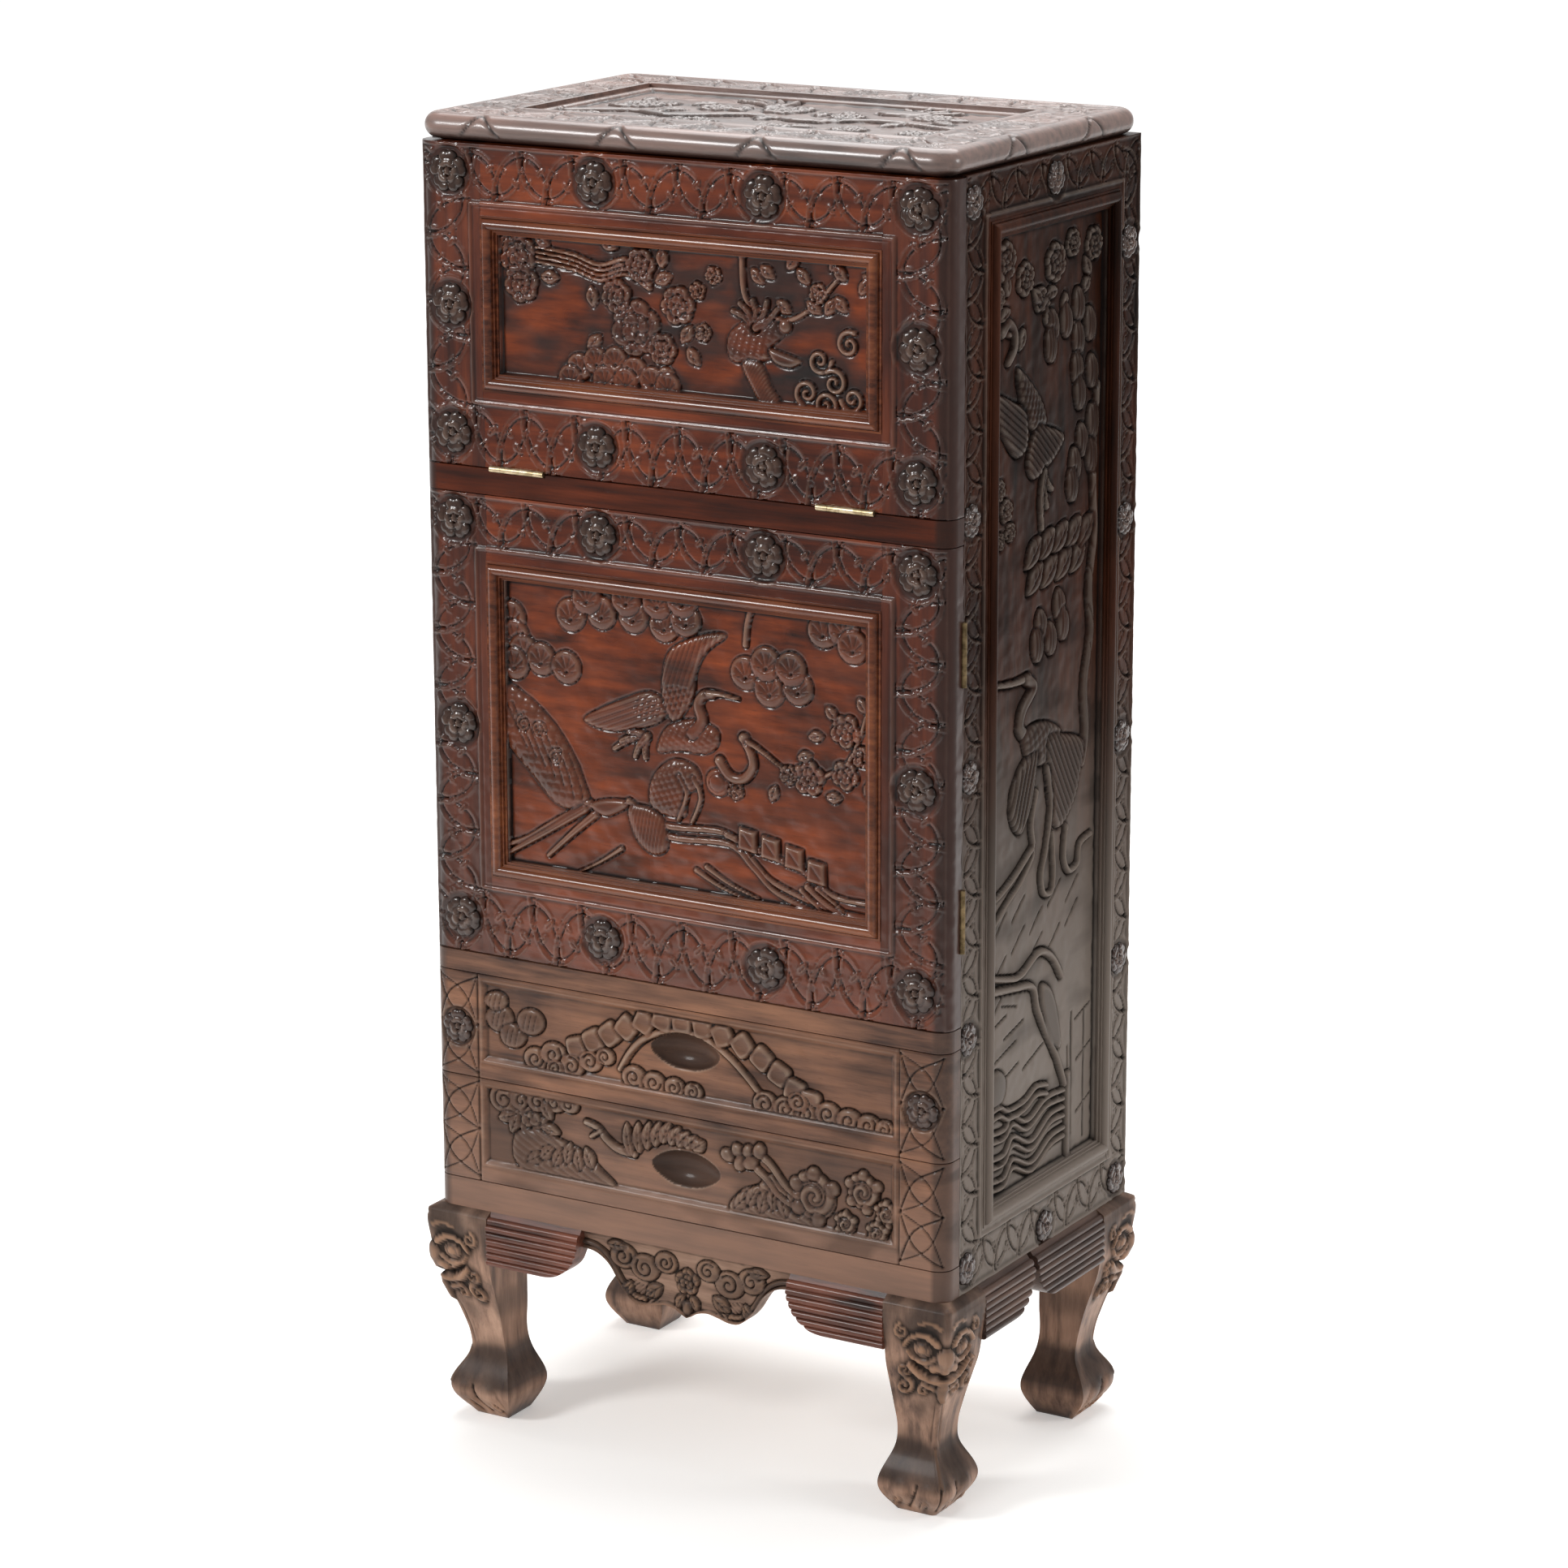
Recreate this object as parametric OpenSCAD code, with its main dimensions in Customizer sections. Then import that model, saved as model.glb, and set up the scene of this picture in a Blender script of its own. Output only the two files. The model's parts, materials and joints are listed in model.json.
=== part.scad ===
// Carved fall-front cabinet on cabriole legs: a desk compartment behind a
// flap, a cupboard behind a door, and two drawers, all with overlaid fronts.
// Millimetres, +Z up, front towards -Y, origin on the floor under the centre.

/* [Case] */
// Width of the case across its front
case_w = 600; // [580:1:640]
// Depth of the case from front face to back face
case_d = 386; // [370:1:420]
// Thickness of the framed sides
side_t = 22; // [20:0.5:24]
// Thickness of the flap, the door, the drawer fronts and the rails between
front_t = 28; // [24:0.5:30]
// Rounding of the upright outer edges of the front
corner_r = 16; // [8:1:20]
// Gap around the door, the flap and the drawer fronts
gap = 1; // [0.8:0.1:1.5]
// Thickness of the shelf and of the boards under the cupboard and the drawers
board_t = 18; // [14:1:20]

/* [Heights] */
// Height of the legs, which carry the case
leg_h = 236; // [220:1:260]
// Height of the plain rail under the lower drawer
bottom_rail_h = 31.5; // [28:0.5:40]
// Height of each drawer front
drawer_h = 110.5; // [100:0.5:125]
// Height of the plain rail between the upper drawer and the door
drawer_rail_h = 21; // [20:1:30]
// Height of the door
door_h = 476; // [440:1:500]
// Height of the plain rail between the door and the flap
mid_rail_h = 26; // [22:0.5:32]
// Height of the flap
flap_h = 320; // [300:1:340]
// Gap over the flap, which lets its inner corner swing past the top
flap_top_gap = 1.5; // [1.5:0.1:2.5]
// Thickness of the top
top_t = 26; // [24:1:28]

/* [Framed panels] */
// Width of the upright frame pieces of the flap and the door
front_stile_w = 74; // [66:1:80]
// Width of the flap's top rail
flap_top_rail_w = 69.5; // [60:0.5:80]
// Width of the flap's bottom rail
flap_bottom_rail_w = 76.5; // [66:0.5:86]
// Width of the door's top rail
door_top_rail_w = 66.5; // [60:0.5:80]
// Width of the door's bottom rail
door_bottom_rail_w = 82.5; // [66:0.5:90]
// Width of the front upright of the sides
side_front_stile_w = 48; // [42:1:56]
// Width of the back upright of the sides
side_back_stile_w = 44; // [40:1:56]
// Width of the top rail of the sides
side_top_rail_w = 49; // [44:1:60]
// Width of the bottom rail of the sides
side_bottom_rail_w = 56; // [50:1:66]
// Width of the frame pieces of the top
top_frame_w = 76; // [66:1:84]
// Width of the frame pieces of the back
back_frame_w = 60; // [50:1:70]
// Thickness of the frame pieces of the back
back_t = 18; // [16:1:20]
// Thickness of every panel
panel_t = 12; // [8:0.5:13]
// How far a panel's face lies behind its frame's face
panel_set = 4; // [3:0.5:5]
// Depth of the ground of the panels' carving under their faces
carving_deep = 4.4; // [3:0.2:5]
// Depth of the grooves that hold the panels
groove_d = 8; // [5:1:12]
// Length of the tenons on the rails
tenon_l = 24; // [15:1:32]
// Clearance of a panel or a tenon in its groove or mortise
fit = 0.2; // [0.1:0.05:0.4]
// Gap at each side of a mitre
mitre_fit = 0.05; // [0.03:0.01:0.1]

/* [Bead moulding] */
// Width of the moulding planted round each panel
bead_w = 18; // [16:1:22]
// How far the moulding stands in front of its frame
bead_proud = 6; // [4:0.5:8]
// Radius of the moulding's round
bead_r = 5.5; // [4:0.5:5.5]

/* [Drawers] */
// Thickness of the drawer sides and backs
drawer_side_t = 10; // [8:1:14]
// Thickness of the drawer bottoms
drawer_bottom_t = 6; // [4:1:8]
// Room behind the drawer boxes
drawer_back_room = 15; // [5:1:40]
// Clearance at each side of a drawer box
drawer_play = 1; // [0.5:0.1:2]
// Height of the drawer runners
runner_h = 12; // [8:1:14]
// Width of the drawer runners
runner_w = 22; // [15:1:30]
// Width of the finger hollow in a drawer front
finger_w = 92; // [80:1:110]
// Height of the finger hollow
finger_h = 41; // [34:1:46]
// Depth of the finger hollow
finger_depth = 17; // [12:1:20]
// Height of the hollow's middle over the upper drawer's bottom edge
upper_finger_up = 66; // [54:1:72]
// Height of the hollow's middle over the lower drawer's bottom edge
lower_finger_up = 54; // [48:1:66]
// Width of the upright carved ends of a drawer front
drawer_end_w = 57; // [52:1:75]
// Height of the margin above the carved field of a drawer front
drawer_field_top = 6; // [4:0.5:10]
// Height of the margin below the carved field of a drawer front
drawer_field_bottom = 18; // [12:1:20]
// Width of the bevelled border of that field
drawer_bevel_w = 8; // [4:0.5:12]

/* [Legs and apron] */
// Width of the square leg blank at the knee
leg_block = 76; // [74:1:80]
// How far the knee stands out from the case
knee_proud = 11; // [9:1:13]
// Height of the knee
knee_h = 72; // [64:1:80]
// Height of the ankle over the floor
ankle_up = 66; // [60:1:72]
// How far the ankle's outer side lies behind the case's face
ankle_in = 22; // [18:1:24]
// Height of the widest part of the foot over the floor
foot_up = 44; // [36:1:48]
// How far the foot's outer side lies behind the case's face
foot_in = 5; // [3:1:9]
// Width of the foot at its widest
foot_w = 75; // [70:1:78]
// How far the sole's outer edge lies behind the case's face
sole_in = 24; // [20:1:28]
// Width of the sole
sole_w = 43; // [38:1:50]
// Height of the reeded wings beside the legs
wing_h = 56; // [50:1:62]
// Length of the wings on the front
front_wing_l = 111; // [100:1:118]
// Length of the wing on a side's front leg; the back one fills the rest
side_wing_l = 104; // [80:1:120]
// Gap where the two wings of a side nearly meet
wing_gap = 8; // [2:1:20]
// Thickness of the wings behind the case's face
wing_back = 14; // [10:1:18]
// Number of reeds on a wing
reeds = 6; // [4:1:7]
// Thickness of the scalloped front apron
apron_t = 20; // [16:1:24]
// How far the apron's face lies behind the case's face
apron_set = 2; // [0.5:0.5:6]
// Depth of the apron's pendant under the case
apron_h = 72; // [64:1:80]
// Radius of the round tenon on top of each leg
leg_tenon_r = 11; // [8:0.5:14]
// Length of that tenon
leg_tenon_l = 14; // [10:0.5:14]
// Distance from the case's faces to the middle of that tenon
leg_tenon_in = 43; // [38:1:46]

/* [Brass fittings] */
// Length of each butt hinge
hinge_l = 63.5; // [50:0.5:76]
// Width of a hinge leaf
leaf_w = 19; // [14:0.5:21]
// Thickness of a hinge leaf
leaf_t = 1.6; // [1.2:0.1:2]
// Radius of a hinge knuckle
knuckle_r = 3.2; // [2.8:0.1:4]
// Radius of a hinge pin
hinge_pin_r = 1.4; // [1:0.1:1.8]
// Distance from the flap's side to the middle of the hinge near it
flap_hinge_in = 113; // [110:1:180]
// Distance from the door's top or bottom edge to the middle of the hinge there
door_hinge_in = 106; // [80:1:140]
// Distance of the stay's pivot from the flap's inner face
stay_off = 11; // [10:0.5:16]
// Height of the stay's pivot over the flap's hinge
stay_up = 170; // [150:1:180]
// Angle from the stay's pivot to its case pin, seen from the flap's hinge
stay_angle = 26; // [22:1:32]
// Width of a stay arm
stay_w = 14; // [12:0.5:16]
// Thickness of a stay arm
stay_t = 3; // [2:0.5:3]
// Radius of the pins that a stay arm turns and slides on
stay_pin_r = 2.5; // [2:0.1:2.6]

/* [Hidden] */

front_y = -case_d / 2;
carcass_y = front_y + front_t;
back_y = case_d / 2;
inner_x = case_w / 2 - side_t;
back_in_y = back_y - back_t;

lower_drawer_z = leg_h + bottom_rail_h + gap;
upper_drawer_z = lower_drawer_z + drawer_h + gap;
drawer_rail_z = upper_drawer_z + drawer_h + gap;
door_z = drawer_rail_z + drawer_rail_h + gap;
mid_rail_z = door_z + door_h + gap;
flap_z = mid_rail_z + mid_rail_h + gap;
top_z = flap_z + flap_h + flap_top_gap;
side_h = top_z - leg_h;

// The door and the flap stop this far short of the case's front edges
seat_gap = 0.6;
leaf_t_door = front_t - seat_gap;

hinge_proud = 0.5;
flap_axis_y = front_y - hinge_proud;
flap_axis_z = flap_z - gap / 2;
door_axis_x = case_w / 2 + hinge_proud;
door_axis_y = carcass_y - seat_gap / 2;
knuckle_room = 0.4;
leaf_play = 0.15;
pin_play = 0.05;

walnut = [0.36, 0.15, 0.08];
dark_walnut = [0.20, 0.10, 0.07];
pale_wood = [0.62, 0.45, 0.30];
brass = [0.78, 0.62, 0.32];

// Points of a smooth curve through a list of 2-D points
curve_steps = 5;
function spline_point(a, b, c, d, t) =
    0.5 * (2 * b + (c - a) * t + (2 * a - 5 * b + 4 * c - d) * t * t + (3 * b - a - 3 * c + d) * t * t * t);
function smooth(points) = [
    for (i = [0 : len(points) - 2], k = [0 : curve_steps - 1])
        spline_point(points[max(i - 1, 0)], points[i], points[i + 1],
                     points[min(i + 2, len(points) - 1)], k / curve_steps),
    points[len(points) - 1]
];
function reversed(points) = [for (i = [len(points) - 1 : -1 : 0]) points[i]];

// A copy on each side of the middle plane
module both_sides() {
    children();
    mirror([1, 0, 0]) children();
}

// Turns a part drawn for the front so that it lies on the right-hand side
module on_right_side() {
    translate([case_w / 2, carcass_y, leg_h]) rotate([0, 0, 90]) children();
}

module on_left_side() {
    mirror([1, 0, 0]) on_right_side() children();
}

// Plan of a front piece: both outer edges rounded at the front
module front_plan(t) {
    half = case_w / 2;
    translate([-half + corner_r, 0]) square([2 * (half - corner_r), t]);
    translate([-half, corner_r]) square([case_w, t - corner_r]);
    for (x = [-1, 1]) intersection() {
        translate([x * (half - corner_r), corner_r]) circle(corner_r, $fn = 64);
        translate([-half, 0]) square([case_w, corner_r + 1]);
    }
}

// Framed panels are drawn with x across from 0, y into the thickness from 0
// at the frame's outer face, and z up from 0.

// A frame is given as [width, height, left stile, right stile, bottom rail,
// top rail].
function open_w(f) = f[0] - f[2] - f[3];
function open_h(f) = f[1] - f[4] - f[5];

// The room for the panel in the opening and the grooves
module panel_room(f, slack = 0) {
    deep = groove_d - slack;
    translate([f[2] - deep, panel_set + slack, f[4] - deep])
        cube([open_w(f) + 2 * deep, panel_t - 2 * slack, open_h(f) + 2 * deep]);
}

module frame_panel(f) {
    panel_room(f, fit);
}

// A carved panel: the ground inside the bead is sunk, and the main figures
// rise from it nearly to the panel's face. Their outlines are drawn from the
// middle of the lower edge of a field, which is stretched to the panel's.
figure_drop = 0.3;
field_margin = 1;
module carved_panel(f, field) {
    in = bead_w + field_margin;
    w = open_w(f) - 2 * in;
    h = open_h(f) - 2 * in;
    face = panel_set + fit;
    difference() {
        frame_panel(f);
        translate([f[2] + in, face - 1, f[4] + in]) cube([w, carving_deep + 1, h]);
    }
    translate([f[2] + in + w / 2, face + carving_deep + 1, f[4] + in]) rotate([90, 0, 0])
        figures(w, h, field) children();
}

// The figures' solid, from 1 under the ground up
module figures(w, h, field) {
    linear_extrude(carving_deep + 1 - figure_drop) scale([w / field[0], h / field[1]]) children();
}

// One edge of a strip that follows a line; way is 1 or -1
function strip_edge(points, w0, w1, way) = [
    for (i = [0 : len(points) - 1])
        let (a = points[max(i - 1, 0)], b = points[min(i + 1, len(points) - 1)], d = (b - a) / norm(b - a))
            points[i] + way * (w0 + (w1 - w0) * i / (len(points) - 1)) / 2 * [-d[1], d[0]]
];

// A strip w0 wide at its start and w1 at its end
module strip(points, w0, w1) {
    polygon(concat(strip_edge(points, w0, w1, 1), reversed(strip_edge(points, w0, w1, -1))));
}

module strips(lines, w0, w1) {
    for (line = lines) strip(line, w0, w1);
}

// Feathers that spread from one root, which a round covers
module feathers(root, tips, w0, w1) {
    rounds([root], w0 / 2 + 1);
    for (tip = tips) strip([root, tip], w0, w1);
}

module rounds(centres, r) {
    for (at = centres) translate(at) circle(r, $fn = 32);
}

module pointed_leaf(root, tip, w) {
    along = tip - root;
    side = [-along[1], along[0]] / norm(along) * w / 2;
    polygon([root, root + 0.3 * along + side, root + 0.7 * along + side, tip,
             root + 0.7 * along - side, root + 0.3 * along - side]);
}

// The tenon on a rail's end; z_low and rail_w say which rail
tenon_inset = 12;
module tenon(x, z_low, rail_w, slack) {
    translate([x - slack, panel_set - slack, z_low + tenon_inset - slack])
        cube([tenon_l + 2 * slack, panel_t + 2 * slack, rail_w - 2 * tenon_inset + 2 * slack]);
}

module all_tenons(f, slack) {
    for (x = [f[2] - tenon_l, f[0] - f[3]]) {
        tenon(x, 0, f[4], slack);
        tenon(x, f[1] - f[5], f[5], slack);
    }
}

module frame_rail(f, t, z_low, rail_w) {
    difference() {
        union() {
            translate([f[2], 0, z_low]) cube([open_w(f), t, rail_w]);
            for (x = [f[2] - tenon_l, f[0] - f[3]]) tenon(x, z_low, rail_w, 0);
        }
        panel_room(f);
    }
}

module frame_stile(f, t, x, w) {
    difference() {
        translate([x, 0, 0]) cube([w, t, f[1]]);
        panel_room(f);
        all_tenons(f, fit);
    }
}

// Section of the bead: a is the distance in from the frame, b the height
// over the panel's face
bead_fillet = 2.2;
bead_quirk = 0.5;
bead_base = 2;
module bead_section() {
    round_b = panel_set + bead_proud - bead_r;
    round_a = bead_fillet + bead_quirk + bead_r;
    square([bead_w, bead_base]);
    square([bead_fillet, panel_set + 1]);
    translate([round_a, round_b]) circle(bead_r, $fn = 48);
    translate([round_a - bead_r, 0]) square([2 * bead_r, round_b]);
    translate([round_a + bead_r - 0.5, 0]) square([2.3, panel_set + 0.5]);
}

// One mitred strip, lying on the lower edge of an opening l wide
module bead_strip(l) {
    intersection() {
        translate([0, panel_set, 0]) rotate([0, -90, 180]) linear_extrude(l) bead_section();
        translate([0, panel_set, 0]) rotate([90, 0, 0])
            linear_extrude(panel_set + bead_proud + 1)
                polygon([[mitre_fit, 0], [l - mitre_fit, 0],
                         [l - bead_w - mitre_fit, bead_w], [bead_w + mitre_fit, bead_w]]);
    }
}

module bead_ring(f) {
    w = open_w(f);
    h = open_h(f);
    translate([f[2], 0, f[4]]) {
        bead_strip(w);
        translate([w, 0, h]) rotate([0, 180, 0]) bead_strip(w);
        translate([0, 0, h]) rotate([0, 90, 0]) bead_strip(h);
        translate([w, 0, 0]) rotate([0, -90, 0]) bead_strip(h);
    }
}

// The sides
side_w = back_y - carcass_y;
side_frame = [side_w, side_h, side_front_stile_w, side_back_stile_w, side_bottom_rail_w, side_top_rail_w];

module side_rails() {
    frame_rail(side_frame, side_t, 0, side_bottom_rail_w);
    frame_rail(side_frame, side_t, side_h - side_top_rail_w, side_top_rail_w);
}

// The sides' picture: blossoms and a flying bird over a standing crane, a
// roof and water
side_field = [228, 960];
module side_picture() {
    rounds([[-88, 934], [14, 922], [92, 930]], 20);
    rounds([[-48, 914], [50, 934]], 16);
    rounds([[-16, 890], [-98, 902]], 12);
    rounds([[64, 874], [38, 862], [88, 852], [64, 840], [10, 860], [6, 842], [62, 811], [94, 804], [68, 787],
            [94, 754], [73, 737], [60, 716], [54, 696], [90, 721]], 13);
    strip([[104, 790], [98, 700], [102, 640], [92, 590], [96, 540], [84, 490], [88, 440], [80, 396]], 10, 14);
    strip([[-94, 868], [-82, 876], [-70, 866], [-70, 850], [-80, 834], [-60, 822]], 11, 9);
    polygon([[-63, 830], [-34, 812], [-12, 790], [-3, 768], [-16, 754], [-40, 772], [-56, 796]]);
    feathers([-50, 778], [[-106, 806], [-100, 786], [-88, 768], [-76, 756], [-62, 742]], 14, 7);
    feathers([-20, 758], [[32, 748], [22, 738], [8, 730], [-8, 722], [-24, 718], [-38, 730]], 14, 7);
    feathers([-6, 720], [[10, 700], [0, 684], [-10, 664]], 10, 6);
    rounds([[-96, 716], [-82, 694], [-74, 672], [-92, 664]], 11);
    for (x = [-42, -14, 14, 42]) pointed_leaf([x, 630], [x + 30, 658], 22);
    for (x = [-38, -8, 22, 52]) pointed_leaf([x, 600], [x + 30, 628], 22);
    rounds([[30, 580], [-8, 566], [12, 548], [-18, 546], [40, 558]], 13);
    strip([[-110, 526], [-68, 520], [-32, 520]], 4, 9);
    strip([[-38, 518], [-24, 508], [-46, 490], [-52, 474], [-36, 458]], 12, 14);
    polygon([[-46, 462], [-22, 470], [10, 466], [36, 452], [28, 434], [-2, 424], [-34, 436]]);
    feathers([24, 448], [[80, 430], [76, 408], [68, 388], [54, 372], [38, 360], [24, 354]], 16, 8);
    feathers([-24, 440], [[-60, 420], [-66, 398], [-60, 378], [-44, 368]], 14, 8);
    strips([[[6, 432], [14, 380], [6, 340], [-4, 312], [2, 292], [18, 290], [22, 312], [18, 350]],
            [[48, 350], [44, 320], [56, 302], [74, 306], [78, 324], [102, 330]],
            [[-14, 430], [-26, 370], [-22, 340], [-46, 316], [-76, 300], [-108, 280]],
            [[-24, 344], [-60, 324], [-90, 312], [-110, 306]]], 7, 5);
    strip([[-112, 232], [-76, 222], [-46, 218], [-8, 232], [20, 222], [42, 196]], 6, 8);
    strip([[-108, 216], [-56, 208], [-20, 200], [-10, 176], [8, 148], [34, 112], [52, 78]], 8, 7);
    polygon([[-2, 196], [18, 190], [34, 160], [42, 120], [18, 134], [2, 164]]);
    polygon([[54, 90], [64, 90], [64, 3], [54, 3]]);
    rounds([[-92, 112]], 20);
    for (drop = [0, 9]) translate([0, -drop])
        strips([[[-112, 90], [-86, 92], [-36, 84], [12, 88]],
                [[-112, 70], [-78, 66], [-59, 76], [-28, 62], [11, 74], [50, 72]],
                [[-112, 43], [-78, 40], [-58, 54], [-20, 38], [19, 54], [50, 54]],
                [[-112, 20], [-78, 16], [-58, 30], [-19, 15], [20, 30], [50, 32]]], 4.6, 5.2);
}

// The front stile, which on the right-hand side takes the door's hinges
module left_front_stile() color(dark_walnut)
    on_left_side() frame_stile(side_frame, side_t, 0, side_front_stile_w);
module left_back_stile() color(dark_walnut)
    on_left_side() frame_stile(side_frame, side_t, side_w - side_back_stile_w, side_back_stile_w);
module left_side_rails() color(dark_walnut) on_left_side() side_rails();
module left_side_panel() color(dark_walnut)
    on_left_side() carved_panel(side_frame, side_field) side_picture();
module left_side_bead() color(walnut) on_left_side() bead_ring(side_frame);

module right_front_stile() color(dark_walnut) difference() {
    on_right_side() frame_stile(side_frame, side_t, 0, side_front_stile_w);
    door_hinge_rooms();
}
module right_back_stile() color(dark_walnut)
    on_right_side() frame_stile(side_frame, side_t, side_w - side_back_stile_w, side_back_stile_w);
module right_side_rails() color(dark_walnut) on_right_side() side_rails();
module right_side_panel() color(dark_walnut)
    on_right_side() carved_panel(side_frame, side_field) side_picture();
module right_side_bead() color(walnut) on_right_side() bead_ring(side_frame);

// The back: an upper and a lower panel in one frame, between the sides
back_w = 2 * inner_x;
back_mid_z = mid_rail_z - leg_h - back_frame_w / 2;
back_lower = [back_w, back_mid_z + back_frame_w, back_frame_w, back_frame_w, back_frame_w, back_frame_w];
back_upper = [back_w, side_h - back_mid_z, back_frame_w, back_frame_w, back_frame_w, back_frame_w];

module on_back() {
    translate([inner_x, back_y, leg_h]) rotate([0, 0, 180]) children();
}

module back_frame() color(pale_wood) on_back() difference() {
    union() {
        for (x = [0, back_w - back_frame_w]) translate([x, 0, 0]) cube([back_frame_w, back_t, side_h]);
        for (z = [0, back_mid_z, side_h - back_frame_w])
            translate([back_frame_w, 0, z]) cube([back_w - 2 * back_frame_w, back_t, back_frame_w]);
    }
    panel_room(back_lower);
    translate([0, 0, back_mid_z]) panel_room(back_upper);
}

module back_panels() color(pale_wood) on_back() {
    frame_panel(back_lower);
    translate([0, 0, back_mid_z]) frame_panel(back_upper);
}

// The top: a mitred frame with a half-round outer edge round a sunk panel
top_nose_r = top_t / 2;
top_corner_r = 22;
top_open_w = case_w - 2 * top_frame_w;
top_open_d = case_d - 2 * top_frame_w;
top_groove = [top_t - panel_set - panel_t, panel_t];

module top_corner_disc() {
    rotate_extrude($fn = 96) {
        square([top_corner_r - top_nose_r, top_t]);
        translate([top_corner_r - top_nose_r, top_nose_r]) intersection() {
            circle(top_nose_r, $fn = 48);
            translate([0, -top_nose_r]) square([top_nose_r, 2 * top_nose_r]);
        }
    }
}

module top_bar(l, w) {
    translate([-l / 2, 0, 0]) rotate([90, 0, 90]) linear_extrude(l) {
        translate([-w / 2 + top_nose_r, 0]) square([w - 2 * top_nose_r, top_t]);
        for (y = [-1, 1]) translate([y * (w / 2 - top_nose_r), top_nose_r]) circle(top_nose_r, $fn = 48);
    }
}

module top_slab() {
    top_bar(case_w - 2 * top_corner_r, case_d);
    rotate([0, 0, 90]) top_bar(case_d - 2 * top_corner_r, case_w);
    for (x = [-1, 1], y = [-1, 1])
        translate([x * (case_w / 2 - top_corner_r), y * (case_d / 2 - top_corner_r), 0]) top_corner_disc();
}

// Plan of one mitred frame piece along the front, cut at 45 degrees
module top_mitre(w, d) {
    long_half = w / 2 - mitre_fit;
    short_half = long_half - top_frame_w;
    polygon([[-long_half, -d / 2], [long_half, -d / 2],
             [short_half, -d / 2 + top_frame_w], [-short_half, -d / 2 + top_frame_w]]);
}

module top_frame() color(walnut) translate([0, 0, top_z]) for (turn = [0, 90, 180, 270]) {
    w = turn % 180 == 0 ? case_w : case_d;
    d = turn % 180 == 0 ? case_d : case_w;
    difference() {
        intersection() {
            top_slab();
            rotate([0, 0, turn]) linear_extrude(top_t) top_mitre(w, d);
        }
        translate([-top_open_w / 2 - groove_d, -top_open_d / 2 - groove_d, top_groove[0] - fit])
            cube([top_open_w + 2 * groove_d, top_open_d + 2 * groove_d, top_groove[1] + 2 * fit]);
    }
}

// The top's picture: blossoms and leaves along a branch
top_margin = 8;
top_field = [432, 218];
module top_picture() {
    strip([[-200, 49], [-150, 79], [-96, 65], [-30, 103], [40, 89], [110, 121], [200, 99]], 12, 8);
    rounds([[-170, 129], [-20, 153], [140, 169], [30, 39]], 20);
    rounds([[-90, 139], [60, 139], [190, 59], [-190, 29], [110, 59], [-110, 29], [-60, 49]], 16);
    for (x = [-190, -130, -70, 80, 150]) pointed_leaf([x, 96], [x + 14, 70], 14);
    for (x = [-140, -60, 20, 100, 180]) pointed_leaf([x, 116], [x + 16, 140], 14);
    feathers([-40, 172], [[-96, 192], [-84, 206], [-62, 210], [-40, 210]], 12, 6);
    polygon([[-50, 166], [-20, 180], [4, 176], [-8, 160], [-36, 154]]);
    polygon([[70, 184], [100, 200], [126, 192], [112, 176], [84, 172]]);
}

module top_panel() color(dark_walnut) {
    w = top_open_w - 2 * top_margin;
    d = top_open_d - 2 * top_margin;
    face = top_z + top_groove[0] + panel_t;
    difference() {
        translate([-top_open_w / 2 - groove_d + fit, -top_open_d / 2 - groove_d + fit, face - panel_t])
            cube([top_open_w + 2 * (groove_d - fit), top_open_d + 2 * (groove_d - fit), panel_t]);
        translate([-w / 2, -d / 2, face - carving_deep]) cube([w, d, carving_deep + 1]);
    }
    translate([0, -d / 2, face - carving_deep - 1]) figures(w, d, top_field) top_picture();
}

// Boards inside the case
inside_w = 2 * inner_x;

module board(top) {
    translate([-inner_x, carcass_y, top - board_t]) cube([inside_w, back_in_y - carcass_y, board_t]);
}

module bottom_board() color(pale_wood) difference() {
    board(leg_h + board_t);
    at_each_leg() translate([leg_tenon_at[0], leg_tenon_at[1], leg_h - 1])
        cylinder(r = leg_tenon_r + pin_play, h = leg_tenon_l + 1 + fit, $fn = 48);
}

// The two floors are level with the tops of the rails in front of them
cupboard_floor_top = drawer_rail_z + drawer_rail_h;
desk_floor_top = mid_rail_z + mid_rail_h;
module cupboard_floor() color(pale_wood) board(cupboard_floor_top);
module desk_floor() color(pale_wood) board(desk_floor_top);

shelf_z = (cupboard_floor_top + mid_rail_z) / 2;
cleat_h = 20;
cleat_w = 14;
cleat_front = 30;
shelf_front = 20;
shelf_play = 0.5;

module cupboard_shelf() color(pale_wood)
    translate([-inner_x + shelf_play, carcass_y + shelf_front, shelf_z])
        cube([inside_w - 2 * shelf_play, back_in_y - carcass_y - shelf_front, board_t]);

module shelf_cleats() color(pale_wood) both_sides()
    translate([inner_x - cleat_w, carcass_y + cleat_front, shelf_z - cleat_h])
        cube([cleat_w, back_in_y - carcass_y - cleat_front, cleat_h]);

// Rails across the front, with rounded ends
module plain_rail(z, h) {
    translate([0, front_y, z]) linear_extrude(h) front_plan(front_t);
}

module bottom_rail() color(walnut) plain_rail(leg_h, bottom_rail_h);
module drawer_rail() color(walnut) plain_rail(drawer_rail_z, drawer_rail_h);

module mid_rail() color(walnut) difference() {
    plain_rail(mid_rail_z, mid_rail_h);
    flap_hinge_rooms();
}

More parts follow.
